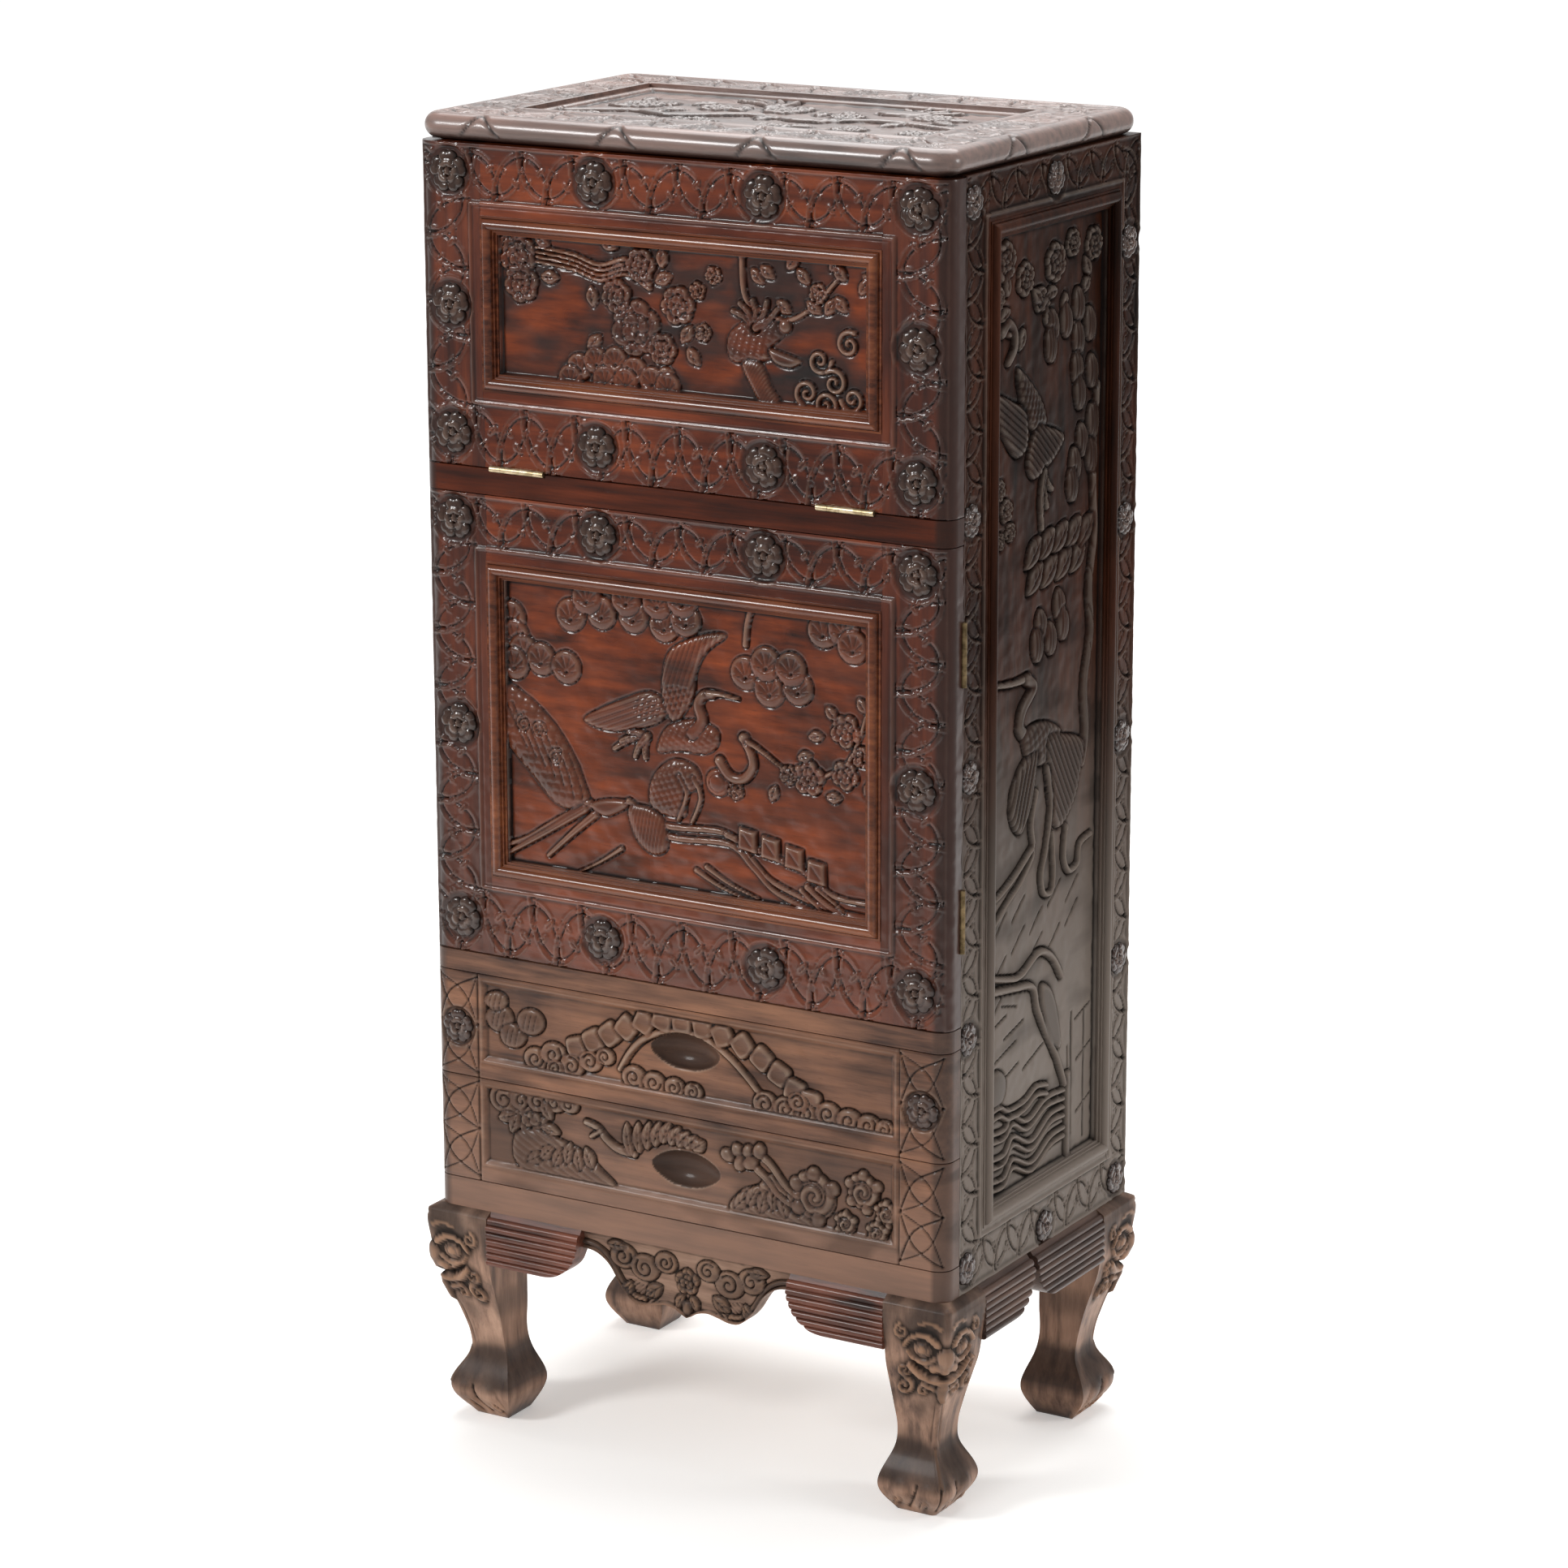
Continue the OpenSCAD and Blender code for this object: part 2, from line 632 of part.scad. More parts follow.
// Legs: the blank is sawn to one outline on two faces. The outline is given
// as the distance in from the case's face and the height over the floor.
leg_inner_s = leg_block - knee_proud;
foot_inner_s = foot_in + foot_w;
sole_inner_s = sole_in + sole_w;
knee_z = leg_h - knee_h;
shin_h = knee_z - ankle_up;
leg_outer = smooth(concat(
    [[0, leg_h]],
    [for (p = [[0.8, 0.07], [1, 0.2], [0.82, 0.42], [0.6, 0.67], [0.27, 1]])
        [-p[0] * knee_proud, leg_h - p[1] * knee_h]],
    [for (p = [[0.18, 0.63], [0.55, 0.41], [0.91, 0.15], [1, 0]]) [p[0] * ankle_in, ankle_up + p[1] * shin_h]],
    [[(foot_in + ankle_in) / 2, (foot_up + ankle_up) / 2], [foot_in, foot_up]],
    [for (p = [[0, 0.77], [0.32, 0.45], [1, 0]]) [foot_in + p[0] * (sole_in - foot_in), p[1] * foot_up]]
));
leg_inner = smooth(concat(
    [[leg_inner_s, leg_h - wing_h]],
    [for (p = [[0, 0.5], [-0.05, 0.3], [0.05, 0.14]])
        [leg_inner_s + p[0] * ankle_in, ankle_up + p[1] * shin_h]],
    [for (p = [[0.4, 1], [0.87, 0.45], [1, 0]])
        [leg_inner_s + p[0] * (foot_inner_s - leg_inner_s), foot_up + p[1] * (ankle_up - foot_up)]],
    [for (p = [[0.08, 0.73], [0.46, 0.32], [1, 0]])
        [foot_inner_s - p[0] * (foot_inner_s - sole_inner_s), p[1] * foot_up]]
));
leg_outline = concat([[leg_inner_s, leg_h]], leg_outer, reversed(leg_inner));
leg_tenon_at = [case_w / 2 - leg_tenon_in, case_d / 2 - leg_tenon_in];

module leg_sawing(half, width) {
    translate([0, width, 0]) rotate([90, 0, 0]) linear_extrude(2 * width)
        polygon([for (p = leg_outline) [half - p[0], p[1]]]);
}

module leg() {
    intersection() {
        leg_sawing(case_w / 2, case_w);
        mirror([1, -1, 0]) leg_sawing(case_d / 2, case_w);
    }
    translate([leg_tenon_at[0], leg_tenon_at[1], leg_h - 1])
        cylinder(r = leg_tenon_r, h = leg_tenon_l + 1, $fn = 48);
}

module at_each_leg() {
    for (x = [0, 1], y = [0, 1]) mirror([x, 0, 0]) mirror([0, y, 0]) children();
}

module leg_front_left() color(walnut) mirror([1, 0, 0]) mirror([0, 1, 0]) leg();
module leg_front_right() color(walnut) mirror([0, 1, 0]) leg();
module leg_back_left() color(walnut) mirror([1, 0, 0]) leg();
module leg_back_right() color(walnut) leg();

// Wings: x runs from the leg to the free end, y into the case from its face,
// z up from the bottom. The face follows the knee and carries reeds, and the
// free end is rounded by a curve, in shares of the height, that counts its x
// back from the end.
wing_curve = [[0.79, 0], [0.43, 0.09], [0.16, 0.3], [0.04, 0.54], [0, 0.68]];
reed_top = 12;
reed_pitch = (wing_h - reed_top) / reeds;
wing_cap_r = 4.5;

module wing_section() {
    reed_y = knee_proud - reed_pitch / 2;
    cap_at = [knee_proud - 1.5 * wing_cap_r, wing_h - 2 * wing_cap_r];
    polygon([[-wing_back, 0], [reed_y, 0], [reed_y, wing_h - reed_top],
             [cap_at[0], wing_h - reed_top / 2], [0, wing_h], [-wing_back, wing_h]]);
    for (i = [0 : reeds - 1]) translate([reed_y, reed_pitch * (i + 0.5)]) circle(reed_pitch / 2, $fn = 32);
    translate(cap_at) circle(wing_cap_r, $fn = 32);
}

module wing(l) {
    outline = concat([[0, 0]], smooth([for (p = wing_curve) [l - p[0] * wing_h, p[1] * wing_h]]),
                     [[l, wing_h], [0, wing_h]]);
    intersection() {
        rotate([90, 0, 90]) mirror([1, 0, 0]) linear_extrude(l) wing_section();
        translate([0, wing_back, 0]) rotate([90, 0, 0]) linear_extrude(wing_back + knee_proud + 2)
            polygon(outline);
    }
}

wing_z = leg_h - wing_h;
module front_wing() {
    translate([-case_w / 2 + leg_inner_s, front_y, wing_z]) wing(front_wing_l);
}
module side_wing(l) {
    translate([case_w / 2, front_y + leg_inner_s, wing_z]) rotate([0, 0, 90]) wing(l);
}
module side_wings() {
    side_wing(side_wing_l);
    mirror([0, 1, 0]) side_wing(case_d - 2 * leg_inner_s - side_wing_l - wing_gap);
}

module front_wing_left() color(walnut) front_wing();
module front_wing_right() color(walnut) mirror([1, 0, 0]) front_wing();
module side_wings_left() color(walnut) mirror([1, 0, 0]) side_wings();
module side_wings_right() color(walnut) side_wings();

// Apron: half the scalloped outline, as share of the half width and depth
apron_half = case_w / 2 - leg_inner_s - front_wing_l;
apron_outline = smooth([for (p = [[1, 0.26], [0.87, 0.29], [0.74, 0.44], [0.62, 0.75], [0.51, 0.92],
                                  [0.41, 0.945], [0.3, 0.9], [0.2, 0.87], [0.11, 0.9], [0.05, 0.96], [0, 1]])
                        [p[0] * apron_half, -p[1] * apron_h]]);

module front_apron() color(walnut)
    translate([0, front_y + apron_set + apron_t, leg_h]) rotate([90, 0, 0]) linear_extrude(apron_t)
        polygon(concat([[-apron_half, 0], [apron_half, 0]], apron_outline,
                       [for (p = reversed(apron_outline)) if (p[0] > 0) [-p[0], p[1]]]));

// The flap and the door: framed panels whose outer edges are rounded
flap_frame = [case_w, flap_h, front_stile_w, front_stile_w, flap_bottom_rail_w, flap_top_rail_w];
door_frame = [case_w, door_h, front_stile_w, front_stile_w, door_bottom_rail_w, door_top_rail_w];

module on_front(z) {
    translate([-case_w / 2, front_y, z]) children();
}

module front_stile(f, x) {
    intersection() {
        frame_stile(f, leaf_t_door, x, front_stile_w);
        translate([case_w / 2, 0, 0]) linear_extrude(f[1]) front_plan(leaf_t_door);
    }
}

module flap_left_stile() color(walnut) on_front(flap_z) front_stile(flap_frame, 0);
module flap_right_stile() color(walnut) on_front(flap_z) front_stile(flap_frame, case_w - front_stile_w);
module flap_top_rail() color(walnut)
    on_front(flap_z) frame_rail(flap_frame, leaf_t_door, flap_h - flap_top_rail_w, flap_top_rail_w);
module flap_bottom_rail() color(walnut) difference() {
    on_front(flap_z) frame_rail(flap_frame, leaf_t_door, 0, flap_bottom_rail_w);
    flap_hinge_rooms();
}

// The flap's picture: long-tailed birds among peonies and pine
flap_field = [414, 136];
module flap_picture() {
    strip([[68, 134], [72, 98], [96, 84], [120, 80], [148, 96], [174, 122]], 6, 4);
    for (at = [[118, 116], [143, 112], [165, 124], [190, 112], [92, 104], [158, 86], [184, 90]])
        pointed_leaf(at, at + [12, 13], 11);
    rounds([[-182, 112]], 22);
    rounds([[-50, 36]], 20);
    rounds([[-46, 116], [22, 90]], 12);
    rounds([[-196, 78], [-10, 66], [36, 114]], 10);
    for (rise = [-6, 3, 12]) strip([[-160, 114 + rise], [-124, 110 + rise], [-92, 102 + rise],
        [-62, 108 + rise], [-36, 98 + rise]], 5, 3.4);
    polygon([[-96, 82], [-64, 96], [-20, 96], [0, 82], [-12, 62], [-50, 58], [-82, 67]]);
    feathers([-18, 74], [[10, 74], [30, 68], [42, 58], [34, 44], [14, 40], [-4, 38]], 10, 5);
    rounds([[-114, 18], [-92, 24], [-72, 22], [-28, 14], [-94, 12]], 10);
    polygon([[52, 42], [54, 62], [76, 78], [102, 80], [116, 68], [100, 52], [98, 40], [64, 34]]);
    feathers([84, 72], [[58, 84], [66, 92], [80, 97], [96, 97], [108, 91]], 9, 5);
    polygon([[98, 51], [116, 48], [134, 42], [122, 34], [104, 38]]);
    polygon([[68, 37], [88, 39], [100, 18], [112, 4], [92, 3], [78, 14]]);
    rounds([[154, 44], [184, 60], [168, 24], [188, 14], [140, 14]], 9);
}

module flap_panel() color(dark_walnut)
    on_front(flap_z) carved_panel(flap_frame, flap_field) flap_picture();
module flap_bead() color(walnut) on_front(flap_z) bead_ring(flap_frame);

module door_left_stile() color(walnut) on_front(door_z) front_stile(door_frame, 0);
module door_right_stile() color(walnut) difference() {
    on_front(door_z) front_stile(door_frame, case_w - front_stile_w);
    door_hinge_rooms();
}
module door_top_rail() color(walnut)
    on_front(door_z) frame_rail(door_frame, leaf_t_door, door_h - door_top_rail_w, door_top_rail_w);
module door_bottom_rail() color(walnut)
    on_front(door_z) frame_rail(door_frame, leaf_t_door, 0, door_bottom_rail_w);

// The door's picture: two cranes under a pine beside water
door_field = [414, 289];
module door_picture() {
    rounds([[-132, 263], [-96, 268], [-59, 268], [-23, 263], [4, 268], [-198, 248], [-192, 222],
            [-168, 214], [-138, 209], [70, 228], [97, 214], [126, 220], [98, 242], [124, 240], [160, 272],
            [184, 268]], 15);
    strip([[76, 286], [72, 272], [70, 250]], 6, 6);
    polygon([[-204, 184], [-185, 174], [-156, 152], [-132, 122], [-114, 82], [-112, 64], [-150, 66],
             [-180, 92], [-204, 120]]);
    strips([[[-112, 72], [-154, 47], [-188, 26], [-204, 18]], [[-106, 62], [-133, 39], [-162, 12]],
            [[-118, 66], [-168, 34], [-204, 8]]], 9, 5);
    polygon([[-112, 71], [-91, 80], [-62, 80], [-91, 62]]);
    for (drop = [0, 11]) translate([drop / 2, -drop])
        strip([[-66, 81], [-25, 62], [44, 64], [73, 43], [101, 21], [120, 14]], 6.8, 4.8);
    strip([[48, 62], [88, 50], [137, 36], [168, 20], [202, 16]], 6.8, 4.8);
    for (at = [[72, 60], [98, 55], [125, 49], [150, 38]])
        polygon([at + [-11, -10], at + [11, -13], at + [10, 10], at + [-10, 13]]);
    feathers([-44, 150], [[-82, 133], [-74, 142], [-66, 152], [-46, 126], [-60, 128]], 9, 5);
    feathers([-20, 176], [[-115, 158], [-106, 166], [-92, 174], [-76, 182], [-56, 190], [-98, 151],
                          [-78, 148]], 11, 5);
    feathers([-8, 180], [[-21, 237], [-10, 248], [4, 256], [20, 261], [34, 262], [46, 258], [30, 246],
                         [20, 232]], 11, 5);
    polygon([[-32, 137], [-6, 140], [24, 141], [38, 152], [36, 168], [6, 176], [-22, 162]]);
    strip([[10, 160], [20, 174], [16, 190], [24, 201], [34, 203], [62, 201]], 13, 3);
    polygon([[-66, 78], [-58, 44], [-38, 30], [-21, 40], [-28, 76]]);
    polygon([[-41, 80], [-38, 110], [-14, 131], [12, 126], [18, 108], [2, 96], [0, 75], [-21, 72]]);
    strips([[[-2, 100], [2, 90], [-8, 66]], [[12, 120], [18, 96], [8, 66]]], 5, 4);
    rounds([[38, 114]], 13);
    strip([[36, 142], [46, 126], [62, 121], [77, 134], [74, 152], [66, 164]], 11, 9);
    strip([[66, 162], [92, 150], [118, 134]], 6, 3);
    rounds([[184, 186], [141, 131], [190, 134], [168, 196], [117, 130], [165, 133], [193, 162],
            [178, 156]], 11);
}

module door_panel() color(dark_walnut)
    on_front(door_z) carved_panel(door_frame, door_field) door_picture();
module door_bead() color(walnut) on_front(door_z) bead_ring(door_frame);

// Butt hinges are drawn with the axis along x through the origin, the fixed
// leaf just under the plane z = 0 and running to +y, and the moving leaf
// just over it.
knuckles = 5;
knuckle_l = hinge_l / knuckles;
knuckle_gap = 0.1;

module hinge_leaf(side) {
    translate([-hinge_l / 2, 0, side > 0 ? leaf_play : -leaf_play - leaf_t]) cube([hinge_l, leaf_w, leaf_t]);
}

// Room in one leaf for the other leaf's knuckles
module knuckle_space(first) {
    for (i = [first : 2 : knuckles - 1])
        translate([-hinge_l / 2 + i * knuckle_l - knuckle_gap, 0, 0]) rotate([0, 90, 0])
            cylinder(r = knuckle_r + knuckle_room / 2, h = knuckle_l + 2 * knuckle_gap, $fn = 32);
}

module knuckle_row(first) {
    for (i = [first : 2 : knuckles - 1])
        translate([-hinge_l / 2 + i * knuckle_l + knuckle_gap, 0, 0]) rotate([0, 90, 0])
            cylinder(r = knuckle_r, h = knuckle_l - 2 * knuckle_gap, $fn = 32);
}

module fixed_half() {
    difference() {
        union() {
            hinge_leaf(-1);
            knuckle_row(0);
        }
        knuckle_space(1);
    }
    translate([-hinge_l / 2 + knuckle_gap, 0, 0]) rotate([0, 90, 0])
        cylinder(r = hinge_pin_r, h = hinge_l - 2 * knuckle_gap, $fn = 32);
}

module moving_half() {
    difference() {
        union() {
            hinge_leaf(1);
            knuckle_row(1);
        }
        knuckle_space(0);
        translate([-hinge_l / 2 - 1, 0, 0]) rotate([0, 90, 0])
            cylinder(r = hinge_pin_r + pin_play, h = hinge_l + 2, $fn = 32);
    }
}

// What the wood loses to a hinge: the knuckles and the two leaves
module hinge_room() {
    translate([-hinge_l / 2 - knuckle_room, 0, 0]) rotate([0, 90, 0])
        cylinder(r = knuckle_r + knuckle_room, h = hinge_l + 2 * knuckle_room, $fn = 32);
    translate([-hinge_l / 2 - pin_play, -1, -leaf_play - leaf_t - pin_play])
        cube([hinge_l + 2 * pin_play, leaf_w + 1 + pin_play, 2 * (leaf_play + leaf_t + pin_play)]);
}

module at_flap_hinges() {
    for (x = [-1, 1]) translate([x * (case_w / 2 - flap_hinge_in), flap_axis_y, flap_axis_z]) children();
}

// On the door the axis stands upright and the leaves lie against its back
module at_door_hinges() {
    for (z = [door_z + door_hinge_in, door_z + door_h - door_hinge_in])
        translate([door_axis_x, door_axis_y, z]) rotate([90, 0, 0]) rotate([0, 0, 90]) children();
}

module flap_hinge_rooms() at_flap_hinges() hinge_room();
module door_hinge_rooms() at_door_hinges() hinge_room();

module flap_hinge_case_leaves() color(brass) at_flap_hinges() fixed_half();
module flap_hinge_flap_leaves() color(brass) at_flap_hinges() moving_half();
module door_hinge_case_leaves() color(brass) at_door_hinges() fixed_half();
module door_hinge_door_leaves() color(brass) at_door_hinges() moving_half();

// Slotted stays hold the open flap level. The arm turns on a pin on the flap
// and its slot slides on a pin on the case. Both pins lie at one distance
// from the flap's hinge, so the arm turns half as fast as the flap.
stay_at = [front_t + hinge_proud + stay_off, stay_up];
stay_reach = norm(stay_at);
stay_lean = atan2(stay_at[0], stay_at[1]);
stay_pin_at = [stay_reach * sin(stay_lean + stay_angle), stay_reach * cos(stay_lean + stay_angle)];
stay_closed_l = 2 * stay_reach * sin(stay_angle / 2);
stay_open_l = 2 * stay_reach * sin((stay_angle + 90) / 2);
stay_dip = 90 - (90 + stay_lean + stay_angle / 2);
stay_play = 0.1;
stay_x = inner_x - 8.5;
slot_r = stay_pin_r + stay_play;
stay_plate_t = 2;
stay_head_t = 1.5;
stay_head_r = stay_pin_r + 2;
stay_rose_r = 11;

// Draws with x along the cabinet's width, y and z from the flap's hinge
module at_flap_axis() {
    translate([0, flap_axis_y, flap_axis_z]) children();
}

module pin_along_x(x0, x1, r, at) {
    translate([x0, at[0], at[1]]) rotate([0, 90, 0]) cylinder(r = r, h = x1 - x0, $fn = 48);
}

module stay_arm() {
    at_flap_axis() translate([stay_x, stay_at[0], stay_at[1]]) rotate([stay_dip, 0, 0]) difference() {
        union() {
            translate([0, 0, -stay_w / 2]) cube([stay_t, stay_open_l + slot_r, stay_w]);
            for (y = [0, stay_open_l + slot_r])
                translate([0, y, 0]) rotate([0, 90, 0]) cylinder(r = stay_w / 2, h = stay_t, $fn = 48);
        }
        translate([-1, 0, 0]) rotate([0, 90, 0])
            cylinder(r = stay_pin_r + pin_play, h = stay_t + 2, $fn = 48);
        translate([-1, stay_closed_l, -slot_r])
            cube([stay_t + 2, stay_open_l - stay_closed_l, 2 * slot_r]);
        for (y = [stay_closed_l, stay_open_l])
            translate([-1, y, 0]) rotate([0, 90, 0]) cylinder(r = slot_r, h = stay_t + 2, $fn = 48);
    }
}

module stay_arm_right() color(brass) stay_arm();
module stay_arm_left() color(brass) mirror([1, 0, 0]) stay_arm();

bracket_x = stay_x - 2.3 - stay_plate_t;
bracket_half = 14;
module stay_flap_bracket() at_flap_axis() {
    inner_face = leaf_t_door + hinge_proud;
    translate([bracket_x - 6, inner_face, stay_up - bracket_half])
        cube([inner_x - 1 - bracket_x + 6, stay_plate_t, 2 * bracket_half]);
    translate([bracket_x, inner_face, stay_up - stay_w / 2])
        cube([stay_plate_t, stay_at[0] - inner_face, stay_w]);
    pin_along_x(bracket_x, bracket_x + stay_plate_t, stay_w / 2, stay_at);
    head_x = stay_x + stay_t + stay_play;
    pin_along_x(bracket_x + stay_plate_t, stay_x - stay_play, stay_head_r, stay_at);
    pin_along_x(bracket_x, head_x + stay_head_t, stay_pin_r, stay_at);
    pin_along_x(head_x, head_x + stay_head_t, stay_head_r, stay_at);
}

module stay_flap_brackets() color(brass) both_sides() stay_flap_bracket();

module stay_case_pin() at_flap_axis() {
    head_x = stay_x - stay_play - stay_head_t;
    pin_along_x(inner_x - stay_plate_t, inner_x, stay_rose_r, stay_pin_at);
    pin_along_x(stay_x + stay_t + stay_play, inner_x, stay_head_r, stay_pin_at);
    pin_along_x(head_x, inner_x, stay_pin_r, stay_pin_at);
    pin_along_x(head_x, head_x + stay_head_t, stay_head_r, stay_pin_at);
}

module stay_case_pins() color(brass) both_sides() stay_case_pin();

// Drawers, drawn with z up from the bottom edge of the front
box_z = runner_h + 2.5;
box_top_gap = 8;
box_h = drawer_h - box_z - box_top_gap;
box_w = inside_w - 2 * drawer_play;
drawer_box_d = back_in_y - drawer_back_room - front_y - leaf_t_door;
bottom_up = 8;
bottom_groove = 5;

// A sunk field with bevelled borders
module drawer_field() {
    half = case_w / 2 - drawer_end_w;
    low = drawer_field_bottom;
    high = drawer_h - drawer_field_top;
    intersection() {
        rotate([90, 0, 90]) translate([0, 0, -half]) linear_extrude(2 * half)
            polygon([[-1, low - drawer_bevel_w * 1 / panel_set], [panel_set, low + drawer_bevel_w],
                     [panel_set, high - 1], [-1, high + 1 / panel_set]]);
        linear_extrude(drawer_h)
            polygon([[-half - drawer_bevel_w / panel_set, -1], [-half + drawer_bevel_w, panel_set],
                     [half - drawer_bevel_w, panel_set], [half + drawer_bevel_w / panel_set, -1]]);
    }
}

// The hollow for the fingers is cut by a spindle that lies along the front
finger_r = (finger_h * finger_h / 4 + finger_depth * finger_depth) / (2 * finger_depth);
finger_arc = (finger_w * finger_w / 4 + finger_depth * finger_depth) / (2 * finger_depth);
module finger_hollow(up) {
    translate([0, finger_depth - finger_r, up]) rotate([0, 90, 0]) rotate_extrude($fn = 96) intersection() {
        translate([finger_r - finger_arc, 0]) circle(finger_arc, $fn = 180);
        translate([0, -finger_w]) square([finger_r, 2 * finger_w]);
    }
}

module drawer_front(z, finger_up) {
    translate([0, front_y, z]) difference() {
        linear_extrude(drawer_h) front_plan(leaf_t_door);
        drawer_field();
        finger_hollow(finger_up);
    }
}

module drawer_sides(z) {
    both_sides() translate([box_w / 2 - drawer_side_t, front_y + leaf_t_door, z + box_z]) difference() {
        cube([drawer_side_t, drawer_box_d, box_h]);
        translate([-1, -1, bottom_up]) cube([bottom_groove + 1, drawer_box_d + 2, drawer_bottom_t + fit]);
    }
}

drawer_inner_w = box_w - 2 * drawer_side_t;
module drawer_back(z) {
    translate([-drawer_inner_w / 2, front_y + leaf_t_door + drawer_box_d - drawer_side_t,
               z + box_z + bottom_up + drawer_bottom_t + fit])
        cube([drawer_inner_w, drawer_side_t, box_h - bottom_up - drawer_bottom_t - fit]);
}

module drawer_bottom(z) {
    w = drawer_inner_w + 2 * (bottom_groove - fit);
    translate([-w / 2, front_y + leaf_t_door, z + box_z + bottom_up + fit / 2])
        cube([w, drawer_box_d, drawer_bottom_t]);
}

module upper_drawer_front() color(walnut) drawer_front(upper_drawer_z, upper_finger_up);
module upper_drawer_sides() color(pale_wood) drawer_sides(upper_drawer_z);
module upper_drawer_back() color(pale_wood) drawer_back(upper_drawer_z);
module upper_drawer_bottom() color(pale_wood) drawer_bottom(upper_drawer_z);
module lower_drawer_front() color(walnut) drawer_front(lower_drawer_z, lower_finger_up);
module lower_drawer_sides() color(pale_wood) drawer_sides(lower_drawer_z);
module lower_drawer_back() color(pale_wood) drawer_back(lower_drawer_z);
module lower_drawer_bottom() color(pale_wood) drawer_bottom(lower_drawer_z);

runner_gap = 0.3;
module drawer_runners() color(pale_wood) both_sides() for (z = [lower_drawer_z, upper_drawer_z])
    translate([inner_x - runner_w, carcass_y, z + box_z - runner_gap - runner_h])
        cube([runner_w, back_in_y - carcass_y, runner_h]);

leg_front_left();
leg_front_right();
leg_back_left();
leg_back_right();
front_apron();
front_wing_left();
front_wing_right();
side_wings_left();
side_wings_right();
bottom_board();
cupboard_floor();
desk_floor();
cupboard_shelf();
shelf_cleats();
drawer_runners();
bottom_rail();
drawer_rail();
mid_rail();
left_front_stile();
left_back_stile();
left_side_rails();
left_side_panel();
left_side_bead();
right_front_stile();
right_back_stile();
right_side_rails();
right_side_panel();
right_side_bead();
back_frame();
back_panels();
top_frame();
top_panel();
flap_left_stile();
flap_right_stile();
flap_top_rail();
flap_bottom_rail();
flap_panel();
flap_bead();
door_left_stile();
door_right_stile();
door_top_rail();
door_bottom_rail();
door_panel();
door_bead();
upper_drawer_front();
upper_drawer_sides();
upper_drawer_back();
upper_drawer_bottom();
lower_drawer_front();
lower_drawer_sides();
lower_drawer_back();
lower_drawer_bottom();
flap_hinge_case_leaves();
flap_hinge_flap_leaves();
door_hinge_case_leaves();
door_hinge_door_leaves();
stay_arm_left();
stay_arm_right();
stay_flap_brackets();
stay_case_pins();
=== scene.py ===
import json
import math
import bpy
import numpy as np
from mathutils import Matrix, Vector

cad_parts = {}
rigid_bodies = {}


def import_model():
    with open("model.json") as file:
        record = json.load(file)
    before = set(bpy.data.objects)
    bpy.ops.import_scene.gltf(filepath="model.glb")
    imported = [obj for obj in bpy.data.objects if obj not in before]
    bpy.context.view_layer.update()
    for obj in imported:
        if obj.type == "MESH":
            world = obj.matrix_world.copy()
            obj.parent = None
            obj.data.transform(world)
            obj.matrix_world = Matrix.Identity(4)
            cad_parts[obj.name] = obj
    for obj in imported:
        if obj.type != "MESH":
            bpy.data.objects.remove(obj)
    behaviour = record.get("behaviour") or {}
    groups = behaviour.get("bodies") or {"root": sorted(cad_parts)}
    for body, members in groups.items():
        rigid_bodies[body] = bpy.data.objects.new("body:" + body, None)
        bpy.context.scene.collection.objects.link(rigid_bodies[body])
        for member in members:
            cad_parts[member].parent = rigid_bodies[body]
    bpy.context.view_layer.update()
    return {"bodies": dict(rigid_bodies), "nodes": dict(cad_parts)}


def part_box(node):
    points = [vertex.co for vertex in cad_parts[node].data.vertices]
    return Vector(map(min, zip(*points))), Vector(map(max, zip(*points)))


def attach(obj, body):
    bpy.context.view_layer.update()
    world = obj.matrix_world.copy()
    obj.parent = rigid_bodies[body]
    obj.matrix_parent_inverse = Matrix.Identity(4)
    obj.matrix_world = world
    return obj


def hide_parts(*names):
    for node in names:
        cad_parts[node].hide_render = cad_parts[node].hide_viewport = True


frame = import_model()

# A carved hardwood cabinet: every carved face is a height map in millimetres,
# laid over the face of the board that it is cut from.

mm = 0.001


def cornersOf(node):
    low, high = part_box(node)
    return np.array(low) / mm, np.array(high) / mm


def putIn(name, data):
    obj = bpy.data.objects.new(name, data)
    bpy.context.scene.collection.objects.link(obj)
    return obj


# Camera, light and floor

camera = dict(
    place=(2.5011, -4.1939, 1.9720),  # metres
    turn=0.5372,       # radians to the left of straight ahead
    pitch=0.2588,      # radians down
    roll=-0.0027,
    lens=114.04,       # on a square 36 mm sensor
)


def makeCamera(v):
    data = bpy.data.cameras.new("photo_camera")
    data.sensor_width = 36
    data.lens = v["lens"]
    data.clip_end = 100
    obj = putIn("photo_camera", data)
    ct, st = math.cos(v["turn"]), math.sin(v["turn"])
    cp, sp = math.cos(v["pitch"]), math.sin(v["pitch"])
    ahead = Vector((-st * cp, ct * cp, -sp))
    right = ahead.cross(Vector((0, 0, 1))).normalized()
    up = right.cross(ahead)
    cr, sr = math.cos(v["roll"]), math.sin(v["roll"])
    axes = Matrix((cr * right + sr * up, cr * up - sr * right, -ahead)).transposed()
    obj.matrix_world = Matrix.Translation(v["place"]) @ axes.to_4x4()
    bpy.context.scene.camera = obj


def linear(hexColour):
    parts = [int(hexColour[i:i + 2], 16) / 255 for i in (1, 3, 5)]
    return tuple(p / 12.92 if p <= 0.04045 else ((p + 0.055) / 1.055) ** 2.4 for p in parts) + (1.0,)


